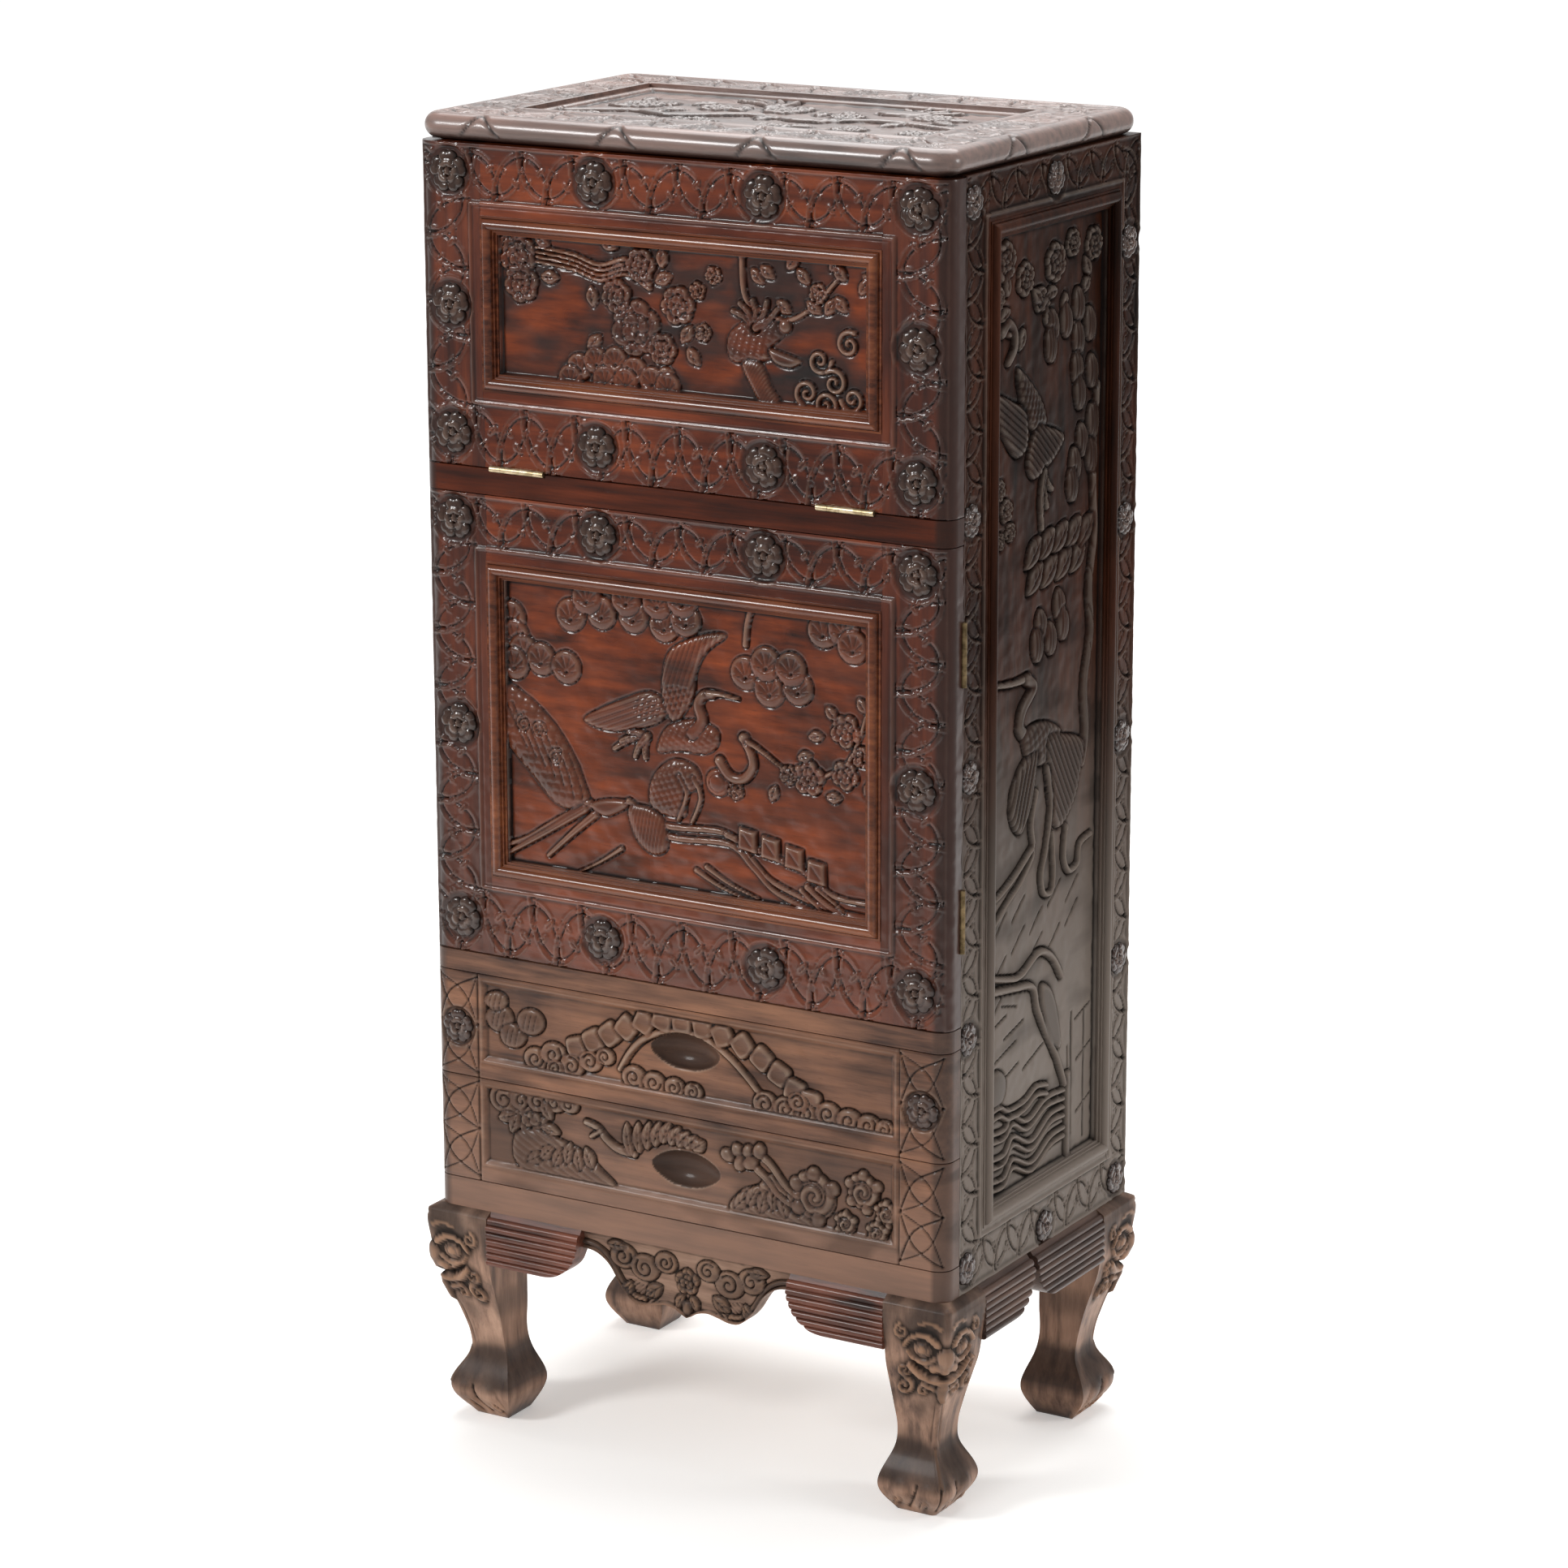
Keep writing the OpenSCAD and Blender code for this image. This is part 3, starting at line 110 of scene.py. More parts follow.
def addNode(tree, kind, values=(), links=(), **settings):
    node = tree.nodes.new(kind)
    for name, value in settings.items():
        setattr(node, name, value)
    for socket, value in dict(values).items():
        node.inputs[socket].default_value = value
    for socket, source in dict(links).items():
        tree.links.new(source, node.inputs[socket])
    return node


def newMaterial(name):
    material = bpy.data.materials.new(name)
    material.use_nodes = True
    material.node_tree.nodes.clear()
    return material, material.node_tree


light = dict(
    key=dict(place=(-2.1, -3.4, 2.7), aim=(0, 0, 0.75), size=1.1, watts=92),
    top=dict(place=(-0.3, 0.9, 3.4), aim=(0, 0, 1.0), size=3.0, watts=100),
    rim=dict(place=(3.4, 0.9, 1.9), aim=(0, 0, 0.6), size=1.1, watts=30),
    air=0.40,          # what the pale room gives to every surface
    wall=0.95,         # the white wall behind the cabinet
    wallWay=(-0.51, 0.86, 0.05), wallFrom=0.80, wallTo=0.96,
    floor="#f4f3f1",
    paper=((-60, 1.9), (-1.9, 60)),    # the sheet's reach across and back
    glowNear=0.34,     # lifts the paper to white, less beside the object
    glowFar=0.70,
    glowReach=(0.7, 4.0),
)


def skyFor(tree):
    path = addNode(tree, "ShaderNodeLightPath").outputs
    seen = path["Is Camera Ray"]
    for ray in ("Is Glossy Ray", "Is Transmission Ray"):
        seen = addNode(tree, "ShaderNodeMath", links={0: seen, 1: path[ray]}, operation="MAXIMUM").outputs[0]
    return seen


def makeLight(v):
    for name in ("key", "top", "rim"):
        lamp = v[name]
        data = bpy.data.lights.new(name + "_softbox", "AREA")
        data.shape = "DISK"
        data.size = lamp["size"]
        data.energy = lamp["watts"]
        aim = Vector(lamp["aim"]) - Vector(lamp["place"])
        turned = aim.to_track_quat("-Z", "Y").to_matrix().to_4x4()
        putIn(name + "_softbox", data).matrix_world = Matrix.Translation(lamp["place"]) @ turned
    world = bpy.data.worlds.new("pale_room")
    bpy.context.scene.world = world
    world.use_nodes = True
    tree = world.node_tree
    tree.nodes.clear()
    way = addNode(tree, "ShaderNodeTexCoord").outputs["Generated"]
    facing = addNode(tree, "ShaderNodeVectorMath", {1: v["wallWay"]}, {0: way}, operation="DOT_PRODUCT")
    level = addNode(tree, "ShaderNodeMapRange",
                    {"From Min": v["wallFrom"], "From Max": v["wallTo"],
                     "To Min": v["air"], "To Max": v["wall"]},
                    {"Value": facing.outputs["Value"]}, interpolation_type="SMOOTHSTEP")
    sky = addNode(tree, "ShaderNodeBackground", {"Color": (1, 1, 1, 1)}, {"Strength": level.outputs[0]})
    addNode(tree, "ShaderNodeOutputWorld", links={"Surface": sky.outputs[0]})


def makeFloor(v):
    (left, right), (front, back) = v["paper"]
    mesh = bpy.data.meshes.new("floor")
    corners = [(left, front, 0), (right, front, 0), (right, back, 0), (left, back, 0)]
    mesh.from_pydata(corners, [], [(0, 1, 2, 3)])
    paint, tree = newMaterial("studio_floor_paint")
    matt = addNode(tree, "ShaderNodeBsdfDiffuse", {"Color": linear(v["floor"])})
    place = addNode(tree, "ShaderNodeTexCoord").outputs["Object"]
    away = addNode(tree, "ShaderNodeVectorMath", links={0: place}, operation="LENGTH")
    near, far = v["glowReach"]
    rise = addNode(tree, "ShaderNodeMapRange",
                   {"From Min": near, "From Max": far, "To Min": v["glowNear"], "To Max": v["glowFar"]},
                   {"Value": away.outputs["Value"]}, interpolation_type="SMOOTHSTEP")
    glow = addNode(tree, "ShaderNodeMath", links={0: skyFor(tree), 1: rise.outputs[0]}, operation="MULTIPLY")
    lift = addNode(tree, "ShaderNodeEmission", {"Color": (1, 1, 1, 1)}, {"Strength": glow.outputs[0]})
    both = addNode(tree, "ShaderNodeAddShader", links={0: matt.outputs[0], 1: lift.outputs[0]})
    addNode(tree, "ShaderNodeOutputMaterial", links={"Surface": both.outputs[0]})
    mesh.materials.append(paint)
    putIn("floor", mesh)


makeCamera(camera)
makeLight(light)
makeFloor(light)
bpy.context.scene.view_settings.view_transform = "Standard"
print("camera, light and floor are in place")

# Woods, their grain drawn in real millimetres on Object coordinates. Carved
# boards carry three values a point: hollow (0 to 1, in the cuts), crest (0 to
# 1, on the ridges) and patina (0 to 1, on the figures). hollow darkens the wood
# with painted shade and dirt, crest brightens it with rubbed wear and a painted
# highlight, and patina greys it. low is a painted sheen of the pale floor, a
# tone that the wood fades to between the heights lowMm, and ends is how
# dark the painted shade on the front's rounded corners is.

rosewood = dict(
    figure="#3a2f2b", hollow="#0b0403", crest="#94796a", cover=0.60, low="#7a4a36", fade=0.0,
    lowMm=(380, 980), ends=0.0, rough=0.36, coat=0.5, shine=0.28, poreMm=1.3, grainMm=14, lengthMm=150,
    blotchMm=60, pore=0.10)

woods = dict(
    # rosewood, carved, stained red-brown and waxed to a gloss: a warm ground
    # with nearly black hollows and darkened, shiny figures
    carvedRosewoodWaxed=dict(
        rosewood, light="#883f1f", mid="#602813", dark="#38160c", figure="#3a221a", cover=0.75,
        fade=0.35, ends=0.85, rough=0.27, blotchMm=110),
    # the same wood in the front's panels: an orange ground, waxed and rubbed
    carvedPanelRosewood=dict(
        rosewood, light="#92421c", mid="#6a2d13", dark="#2a120b", figure="#492a1d", crest="#b3947f",
        cover=0.55, low="#8a4a2c", fade=0.30, rough=0.28, grainMm=13, lengthMm=85),
    # the same wood on the sides, painted darker for the shade on them, fading low down to a painted grey
    # floor sheen
    carvedRosewoodDark=dict(
        rosewood, light="#4a281a", mid="#2f170d", dark="#150a06", figure="#2b201a", hollow="#030101",
        crest="#93857a", cover=0.45, low="#80756c", fade=0.88, lowMm=(420, 900), rough=0.34, coat=0.04,
        shine=0.08, blotchMm=160),
    # the blossoms, black with wax and dust, shiny on their petals
    carvedBlossomRosewood=dict(
        rosewood, light="#4c2e20", mid="#331d13", dark="#160b07", figure="#35221a", hollow="#040201",
        cover=0.45, low="#43302a", fade=0.55, lowMm=(420, 900), rough=0.24, shine=0.34, pore=0.06),
    # drawer fronts and lower rails, where the stain is rubbed back to tan
    rubbedRosewood=dict(
        rosewood, light="#96694f", mid="#76523f", dark="#3f2a22", figure="#4d3a31", hollow="#0d0705",
        crest="#c4aa94", cover=0.55, low="#957462", fade=0.60, lowMm=(230, 420), ends=0.75, coat=0.16,
        shine=0.24, poreMm=1.2, grainMm=11, lengthMm=130, blotchMm=80, pore=0.12),
    # plain rails between the fronts, and the back: planed, stained, waxed
    planedRosewoodRed=dict(
        rosewood, light="#78371f", mid="#522414", dark="#2d1610", figure="#34211b", fade=0.50, ends=0.85,
        rough=0.32, coat=0.14, shine=0.22, poreMm=1.2, grainMm=10, lengthMm=170, blotchMm=120, pore=0.12),
    # the planted beads, run with a moulding plane and rubbed bright
    mouldedRosewoodBead=dict(
        rosewood, light="#8f5230", mid="#6b3720", dark="#3d1d11", low="#8a5230", fade=0.30, rough=0.24,
        shine=0.30, poreMm=1.1, grainMm=6, lengthMm=170, blotchMm=90, pore=0.08),
    # the top: pale with polish and a painted grey sheen of the room reflected across it
    hazedRosewoodTop=dict(
        rosewood, light="#87675c", mid="#6a5148", dark="#35241f", figure="#3b302c", hollow="#080504",
        crest="#a89d98", rough=0.34, shine=0.5, grainMm=9, blotchMm=130),
    # legs and apron, sawn and carved, rubbed to tan by shoes and brooms
    wornRosewoodLeg=dict(
        rosewood, light="#c49f88", mid="#a17f6b", dark="#5a473e", hollow="#0e0806", crest="#cf9f7c",
        cover=0.80, coat=0.06, shine=0.20, grainMm=11, lengthMm=90, blotchMm=55, pore=0.12),
    # the reeded wings, redder than the legs
    reededRosewoodWing=dict(
        rosewood, light="#8a5340", mid="#6b4032", dark="#301d18", coat=0.25, grainMm=9, lengthMm=120,
        pore=0.12),
    # the side wings: the wing's wood painted darker and greyer for the shade and floor sheen on the sides
    greyedRosewoodWing=dict(
        rosewood, light="#6a5145", mid="#4f3c34", dark="#2c201c", rough=0.34, coat=0.25, grainMm=9,
        lengthMm=120, pore=0.12),
    # inside boards: camphor wood, planed and left bare
    planedCamphorwood=dict(
        rosewood, light="#c09a6e", mid="#a88158", dark="#7d5b3c", rough=0.62, coat=0.0, shine=0.4, poreMm=1.0,
        grainMm=10, lengthMm=180, blotchMm=150),
)
woodShading = dict(
    # cornerMm: where the painted shade on the front's rounded corners starts and is full
    cornerMm=(282, 287),     # from the middle: where the front's corners start to darken, and are dark
    # hollowDark sets how much painted shade and dirt the hollows take, crestRub how much rubbed wear and
    # painted highlight the ridges take
    blotchShare=0.45, poreDark=0.35, hollowDark=0.95, crestRub=0.45,
    hollowDull=0.30, crestGloss=-0.10, bump=0.35, ior=1.45, coatRough=0.16,
)


def ramp(tree, source, stops):
    node = addNode(tree, "ShaderNodeValToRGB", links={"Fac": source})
    elements = node.color_ramp.elements
    while len(elements) < len(stops):
        elements.new(0.5)
    for element, (at, colour) in zip(elements, stops):
        element.position = at
        element.color = linear(colour)
    return node.outputs["Color"]


def woodMaterial(name, v, axis, s):
    material, tree = newMaterial(name + "_" + axis)
    place = addNode(tree, "ShaderNodeTexCoord").outputs["Object"]
    parts = addNode(tree, "ShaderNodeSeparateXYZ", links={0: place})
    along = "xyz".index(axis)

    def stretched(wideMm, longMm, detail, offset=0.0):
        scale = [1000 / wideMm] * 3
        scale[along] = 1000 / longMm
        mapping = addNode(tree, "ShaderNodeMapping", {"Location": (offset,) * 3, "Scale": scale},
                          {"Vector": place})
        return addNode(tree, "ShaderNodeTexNoise", {"Scale": 1.0, "Detail": detail, "Roughness": 0.6},
                       {"Vector": mapping.outputs[0]}).outputs["Fac"]

    grain = stretched(v["grainMm"], v["lengthMm"], 4.0)
    pores = stretched(v["poreMm"], v["poreMm"] * 14, 2.0, 7.0)
    blotch = stretched(v["blotchMm"], v["blotchMm"] * 1.6, 2.0, 3.0)
    mixed = addNode(tree, "ShaderNodeMix", {0: s["blotchShare"]}, {2: grain, 3: blotch}).outputs[0]
    wood = ramp(tree, mixed, [(0.36, v["dark"]), (0.5, v["mid"]), (0.66, v["light"])])
    poreMask = addNode(tree, "ShaderNodeMapRange", {"From Min": 0.60, "From Max": 0.72},
                       {"Value": pores}).outputs[0]

    def painted(factor, strength, below, colour):
        amount = addNode(tree, "ShaderNodeMath", {1: strength}, {0: factor}, operation="MULTIPLY",
                         use_clamp=True)
        return addNode(tree, "ShaderNodeMix", {7: linear(colour)}, {0: amount.outputs[0], 6: below},
                       data_type="RGBA").outputs[2]

    def worn(key, share, below):
        return addNode(tree, "ShaderNodeMath", {1: share}, {0: values[key], 2: below},
                       operation="MULTIPLY_ADD", use_clamp=True).outputs[0]

    values = {key: addNode(tree, "ShaderNodeAttribute", attribute_name=key).outputs["Fac"]
              for key in ("hollow", "crest", "patina")}
    colour = painted(poreMask, s["poreDark"], wood, v["dark"])
    # a painted sheen of the pale floor, which the wood fades to lower down
    lowEnd, highEnd = v["lowMm"]
    paintedLowSheen = addNode(tree, "ShaderNodeMapRange",
                    {"From Min": lowEnd * mm, "From Max": highEnd * mm, "To Min": 1.0, "To Max": 0.0},
                    {"Value": parts.outputs["Z"]}, interpolation_type="SMOOTHSTEP")
    colour = painted(paintedLowSheen.outputs[0], v["fade"], colour, v["low"])
    # painted shade on the front's rounded corners, where they turn towards the side
    if v["ends"]:
        off = addNode(tree, "ShaderNodeMath", links={0: parts.outputs["X"]}, operation="ABSOLUTE").outputs[0]
        start, stop = s["cornerMm"]
        end = addNode(tree, "ShaderNodeMapRange", {"From Min": start * mm, "From Max": stop * mm},
                      {"Value": off})
        colour = painted(end.outputs[0], v["ends"], colour, v["figure"])
    # patina greys the figures; crest paints rubbed wear and a highlight on the ridges; hollow paints shade
    # and dirt into the cuts
    for key, strength, tone in (("patina", v["cover"], "figure"), ("crest", s["crestRub"], "crest"),
                                ("hollow", s["hollowDark"], "hollow")):
        colour = painted(values[key], strength, colour, v[tone])
    wear = addNode(tree, "ShaderNodeMapRange", {"From Min": 0.3, "From Max": 0.7, "To Min": v["rough"] - 0.05,
                                                "To Max": v["rough"] + 0.08}, {"Value": blotch}).outputs[0]
    rough = worn("crest", s["crestGloss"], worn("hollow", s["hollowDull"], wear))
    relief = addNode(tree, "ShaderNodeMath", {1: -1.0}, {0: poreMask, 2: grain}, operation="MULTIPLY_ADD")
    bump = addNode(tree, "ShaderNodeBump", {"Strength": s["bump"], "Distance": v["pore"] * mm},
                   {"Height": relief.outputs[0]})
    shader = addNode(tree, "ShaderNodeBsdfPrincipled",
                     {"IOR": s["ior"], "Specular IOR Level": v["shine"], "Coat Weight": v["coat"],
                      "Coat Roughness": s["coatRough"], "Coat IOR": s["ior"]},
                     {"Base Color": colour, "Roughness": rough, "Normal": bump.outputs[0]})
    addNode(tree, "ShaderNodeOutputMaterial", links={"Surface": shader.outputs[0]})
    return material


materials = {}


def wood(name, axis="z"):
    key = name + "_" + axis
    if key not in materials:
        materials[key] = woodMaterial(name, woods[name], axis, woodShading)
    return materials[key]


# Brass, cast and filed: warm, brighter in some small patches, dull in the scratches
filedBrass = dict(name="filed_brass", bright="#d6c3a3", dull="#a3906f", rough=0.36, scratchMm=0.6)
# the door's hinges: the same brass painted darker, a painted dim reflection, as they face the side and the
# darker room
shadedBrass = dict(filedBrass, name="tarnished_brass", bright="#95805f", dull="#5f5039", rough=0.46)


def brassMaterial(v):
    material, tree = newMaterial(v["name"])
    place = addNode(tree, "ShaderNodeTexCoord").outputs["Object"]
    fine = 1000 / v["scratchMm"]
    scratch = addNode(tree, "ShaderNodeMapping", {"Scale": (60, fine, fine)}, {"Vector": place})
    lines = addNode(tree, "ShaderNodeTexNoise", {"Scale": 1.0, "Detail": 3.0}, {"Vector": scratch.outputs[0]})
    spots = addNode(tree, "ShaderNodeTexNoise", {"Scale": 140.0, "Detail": 3.0}, {"Vector": place})
    colour = ramp(tree, spots.outputs["Fac"], [(0.35, v["dull"]), (0.65, v["bright"])])
    rough = addNode(tree, "ShaderNodeMapRange", {"To Min": v["rough"] - 0.08, "To Max": v["rough"] + 0.2},
                    {"Value": lines.outputs["Fac"]})
    bump = addNode(tree, "ShaderNodeBump", {"Strength": 0.2, "Distance": 0.05 * mm},
                   {"Height": lines.outputs["Fac"]})
    shader = addNode(tree, "ShaderNodeBsdfPrincipled", {"Metallic": 1.0},
                     {"Base Color": colour, "Roughness": rough.outputs[0], "Normal": bump.outputs[0]})
    addNode(tree, "ShaderNodeOutputMaterial", links={"Surface": shader.outputs[0]})
    return material


plainBoards = (
    (brassMaterial(filedBrass), ["flap_hinge_case_leaves", "flap_hinge_flap_leaves", "stay_arm_left",
                                 "stay_arm_right", "stay_flap_brackets", "stay_case_pins"]),
    (brassMaterial(shadedBrass), ["door_hinge_case_leaves", "door_hinge_door_leaves"]),
    (wood("planedCamphorwood", "x"), ["bottom_board", "cupboard_floor", "desk_floor", "cupboard_shelf",
                                      "upper_drawer_back", "lower_drawer_back", "upper_drawer_bottom",
                                      "lower_drawer_bottom"]),
    (wood("planedCamphorwood", "y"), ["shelf_cleats", "drawer_runners", "upper_drawer_sides",
                                      "lower_drawer_sides"]),
    (wood("planedRosewoodRed", "z"), ["back_frame", "back_panels"]),
    (wood("planedRosewoodRed", "x"), ["mid_rail"]),
    (wood("rubbedRosewood", "x"), ["drawer_rail", "bottom_rail"]),
    (wood("mouldedRosewoodBead", "x"), ["flap_bead", "door_bead"]),
    (wood("carvedRosewoodDark", "z"), ["left_side_bead", "right_side_bead"]),
    (wood("reededRosewoodWing", "x"), ["front_wing_left", "front_wing_right"]),
    (wood("greyedRosewoodWing", "y"), ["side_wings_left", "side_wings_right"]),
)
for material, nodes in plainBoards:
    for node in nodes:
        mesh = frame["nodes"][node].data
        mesh.materials.clear()
        mesh.materials.append(material)
print("materials are on the plain boards")

# Height maps. A canvas holds the height over the board's face in millimetres
# (below it where negative), and the patina of the figures. outline is how deep
# a figure's edge is cut into the ground, stain how far the ground is
# blackened round the figures by painted shade and stain, and in patches of
# stain, and dark how far it is blackened all over.

cutDeep = 1.7    # and into another figure


def canvasOn(across, up, step, whole=True, **more):
    flat = dict(high=np.zeros(across.shape), patina=np.zeros(across.shape), outline=0.0, stain=0.0, dark=0.0)
    return dict(flat, u=across, v=up, step=step, whole=whole, **more)


def newCanvas(u, v, step, **more):
    nu, nv = (max(3, int(round((b - a) / step)) + 1) for a, b in (u, v))
    across, up = np.meshgrid(np.linspace(u[0], u[1], nu), np.linspace(v[0], v[1], nv))
    return canvasOn(across, up, step, False, **more)


def partOf(c, points, room):
    # the piece of a canvas that a figure can reach; a curved canvas is taken whole
    if c["whole"]:
        return slice(None), c["u"], c["v"]
    p = np.asarray(points, float).reshape(-1, 2)
    low, high = p.min(0) - room, p.max(0) + room
    i = np.searchsorted(c["u"][0], [low[0], high[0]])
    j = np.searchsorted(c["v"][:, 0], [low[1], high[1]])
    w = (slice(j[0], j[1]), slice(i[0], i[1]))
    return w, c["u"][w], c["v"][w]


def curve(points, closed=False, steps=6):
    p = np.asarray(points, float)
    n = len(p)
    if n < 3:
        return p
    out = []
    for k in range(n if closed else n - 1):
        a, b, c, d = (p[(k + i) % n] if closed else p[min(max(k + i, 0), n - 1)] for i in (-1, 0, 1, 2))
        for t in np.arange(steps) / steps:
            out.append(0.5 * (2 * b + (c - a) * t + (2 * a - 5 * b + 4 * c - d) * t * t
                              + (3 * b - a - 3 * c + d) * t ** 3))
    if not closed:
        out.append(p[-1])
    return np.array(out)


def farFrom(u, v, line, closed=False):
    best, along = np.full(u.shape, 1e6), np.zeros(u.shape)
    ends = np.vstack([line, line[:1]]) if closed else line
    for k in range(len(ends) - 1):
        a, d = ends[k], ends[k + 1] - ends[k]
        t = np.clip(((u - a[0]) * d[0] + (v - a[1]) * d[1]) / max(d @ d, 1e-9), 0, 1)
        gone = np.hypot(u - a[0] - t * d[0], v - a[1] - t * d[1])
        near = gone < best
        best[near] = gone[near]
        along[near] = ((k + t) / (len(ends) - 1))[near]
    return best, along


def insideOf(u, v, line):
    inside = np.zeros(u.shape, bool)
    for a, b in zip(line, np.roll(line, -1, axis=0)):
        if a[1] != b[1]:
            crosses = (a[1] > v) != (b[1] > v)
            inside ^= crosses & (u < (b[0] - a[0]) * (v - a[1]) / (b[1] - a[1]) + a[0])
    return inside


def setIn(c, w, outside, value, patina):
    # a figure's edge is cut in round it, deep into other figures and less
    # into the ground, then its own height is raised
    high, ring = c["high"][w], max(2.2, 1.9 * c["step"])
    deep = np.where(high > 0.3, cutDeep, np.where(high > -1.0, c["outline"], 0))
    high = np.where((outside > 0) & (outside < ring), high - deep * (1 - outside / ring), high)
    inside = outside <= 0
    c["patina"][w] = np.where(inside, patina, c["patina"][w])
    c["high"][w] = np.where(inside, np.maximum(value, high * 0.5 + value * 0.5), high)


def roundReach(c, at, r, turn, room):
    rx, rz = (r, r) if np.isscalar(r) else r
    w, u, v = partOf(c, [at], max(rx, rz) + room)
    x, z = u - at[0], v - at[1]
    ct, st = math.cos(turn), math.sin(turn)
    return w, np.hypot((x * ct + z * st) / rx, (z * ct - x * st) / rz), min(rx, rz)


def dome(c, at, r, high, turn=0.0, patina=1.0, squareness=0.5):
    w, reach, least = roundReach(c, at, r, turn, 2)
    setIn(c, w, (reach - 1) * least, high * np.clip(1 - reach ** 2, 0, 1) ** squareness, patina)


def dish(c, at, r, deep, turn=0.0):
    # hollows a figure out, which leaves it a raised rim
    w, reach, _ = roundReach(c, at, r, turn, 0)
    c["high"][w] -= deep * np.clip(1 - reach ** 2, 0, 1) ** 0.6


def lineReach(c, points, wide, room):
    # how far each point is from a line, and half the line's width there
    line = curve(points)
    w0, w1 = (wide, wide) if np.isscalar(wide) else wide
    w, u, v = partOf(c, line, max(w0, w1) + room)
    far, along = farFrom(u, v, line)
    return w, far, w0 + (w1 - w0) * along


def stroke(c, points, wide, high, patina=1.0):
    w, far, half = lineReach(c, points, wide, 2)
    setIn(c, w, far - half, high * np.sqrt(np.clip(1 - (far / half) ** 2, 0, 1)), patina)


def gouge(c, points, wide, deep):
    w, far, half = lineReach(c, points, wide, 1)
    half = np.maximum(half, c["step"] * 0.95)
    c["high"][w] -= 1.35 * deep * np.clip(1 - far / half, 0, 1)


def fieldOf(c, points, smooth, room):
    line = curve(points, True) if smooth else np.asarray(points, float)
    w, u, v = partOf(c, line, room)
    return line, w, u, v, insideOf(u, v, line)


def area(c, points, high, edge, patina=1.0, smooth=True):
    line, w, u, v, inside = fieldOf(c, points, smooth, edge + 3)
    far, _ = farFrom(u, v, line, True)
    fall = 1 - np.clip(far / edge, 0, 1)
    setIn(c, w, np.where(inside, -far, far), high * np.sqrt(np.clip(1 - fall ** 2, 0, 1)), patina)


def hatch(c, points, turn, pitch, deep, smooth=True):
    _, w, u, v, inside = fieldOf(c, points, smooth, 1)
    across = (v * math.cos(turn) - u * math.sin(turn)) / pitch
    vee = np.abs((across % 1) - 0.5) * 2
    c["high"][w] -= np.where(inside, deep * np.clip(1 - vee * 1.6, 0, 1), 0)


def scales(c, points, size, deep, turn=0.0):
    _, w, u, v, inside = fieldOf(c, points, True, 1)
    x = (u * math.cos(turn) + v * math.sin(turn)) / size
    z = (v * math.cos(turn) - u * math.sin(turn)) / (size * 0.62)
    best = np.full(u.shape, 9.0)
    for shift in (0, 1):
        row = np.floor((z - shift) / 2) * 2 + shift
        column = np.floor(x + 0.5 * shift) + 0.5 * (1 - shift)
        best = np.minimum(best, np.abs(np.hypot((x - column) * 2, (z - row) * 0.62 * 1.2) - 0.95))
    c["high"][w] -= np.where(inside, deep * np.clip(1 - best * 3.0, 0, 1), 0)


def around(at, r, turn):
    return (at[0] + r * math.cos(turn), at[1] + r * math.sin(turn))


def fan(c, root, tips, wide, high, patina=1.0):
    for tip in tips:
        middle = ((root[0] + tip[0]) / 2 + (tip[1] - root[1]) * 0.08,
                  (root[1] + tip[1]) / 2 + (root[0] - tip[0]) * 0.08)
        stroke(c, [root, middle, tip], wide, high, patina)
        gouge(c, [root, middle, tip], (1.0, 0.8), 1.0)
        for k in (0.35, 0.55, 0.75):
            at = (root[0] + (tip[0] - root[0]) * k, root[1] + (tip[1] - root[1]) * k)
            lean = math.atan2(tip[1] - root[1], tip[0] - root[0])
            for way in (-1, 1):
                gouge(c, [at, around(at, max(np.ravel(wide)) * 0.9, lean + way * 0.6)], (0.8, 0.6), 0.5)


def curl(c, at, r, turns, wide, high, start=0.0, hand=1, patina=1.0):
    n = max(8, int(12 * turns))
    spiral = [around(at, r * (1 - 0.86 * k / n), start + hand * 2 * math.pi * turns * k / n)
              for k in range(n + 1)]
    stroke(c, spiral, (wide, wide * 0.6), high, patina)


def cloud(c, at, r, high, turn=0.0, hand=1, patina=1.0):
    dome(c, at, (r * 1.2, r), high, 0, patina, squareness=0.28)
    spiral = [around(at, r * (0.78 - 0.62 * k / 12), turn + hand * 2.5 * math.pi * k / 12) for k in range(13)]
    gouge(c, spiral, (2.0, 1.3), 2.2)


def leaf(c, at, length, wide, turn, high, patina=1.0):
    n = 7
    side = [(length * k / n, wide * math.sin(math.pi * k / n) ** 0.8) for k in range(n + 1)]
    outline = side + [(x, -z) for x, z in reversed(side[1:-1])]
    ct, st = math.cos(turn), math.sin(turn)
    placed = [(at[0] + x * ct - z * st, at[1] + x * st + z * ct) for x, z in outline]
    area(c, placed, high, wide * 0.8, patina)
    gouge(c, [at, around(at, length * 0.9, turn)], (1.3, 0.8), 1.2)
    for k in (0.35, 0.6):
        for way in (-1, 1):
            root = around(at, length * k, turn)
            gouge(c, [root, around(root, wide * 0.8, turn + way * 0.7)], (1.0, 0.7), 0.6)


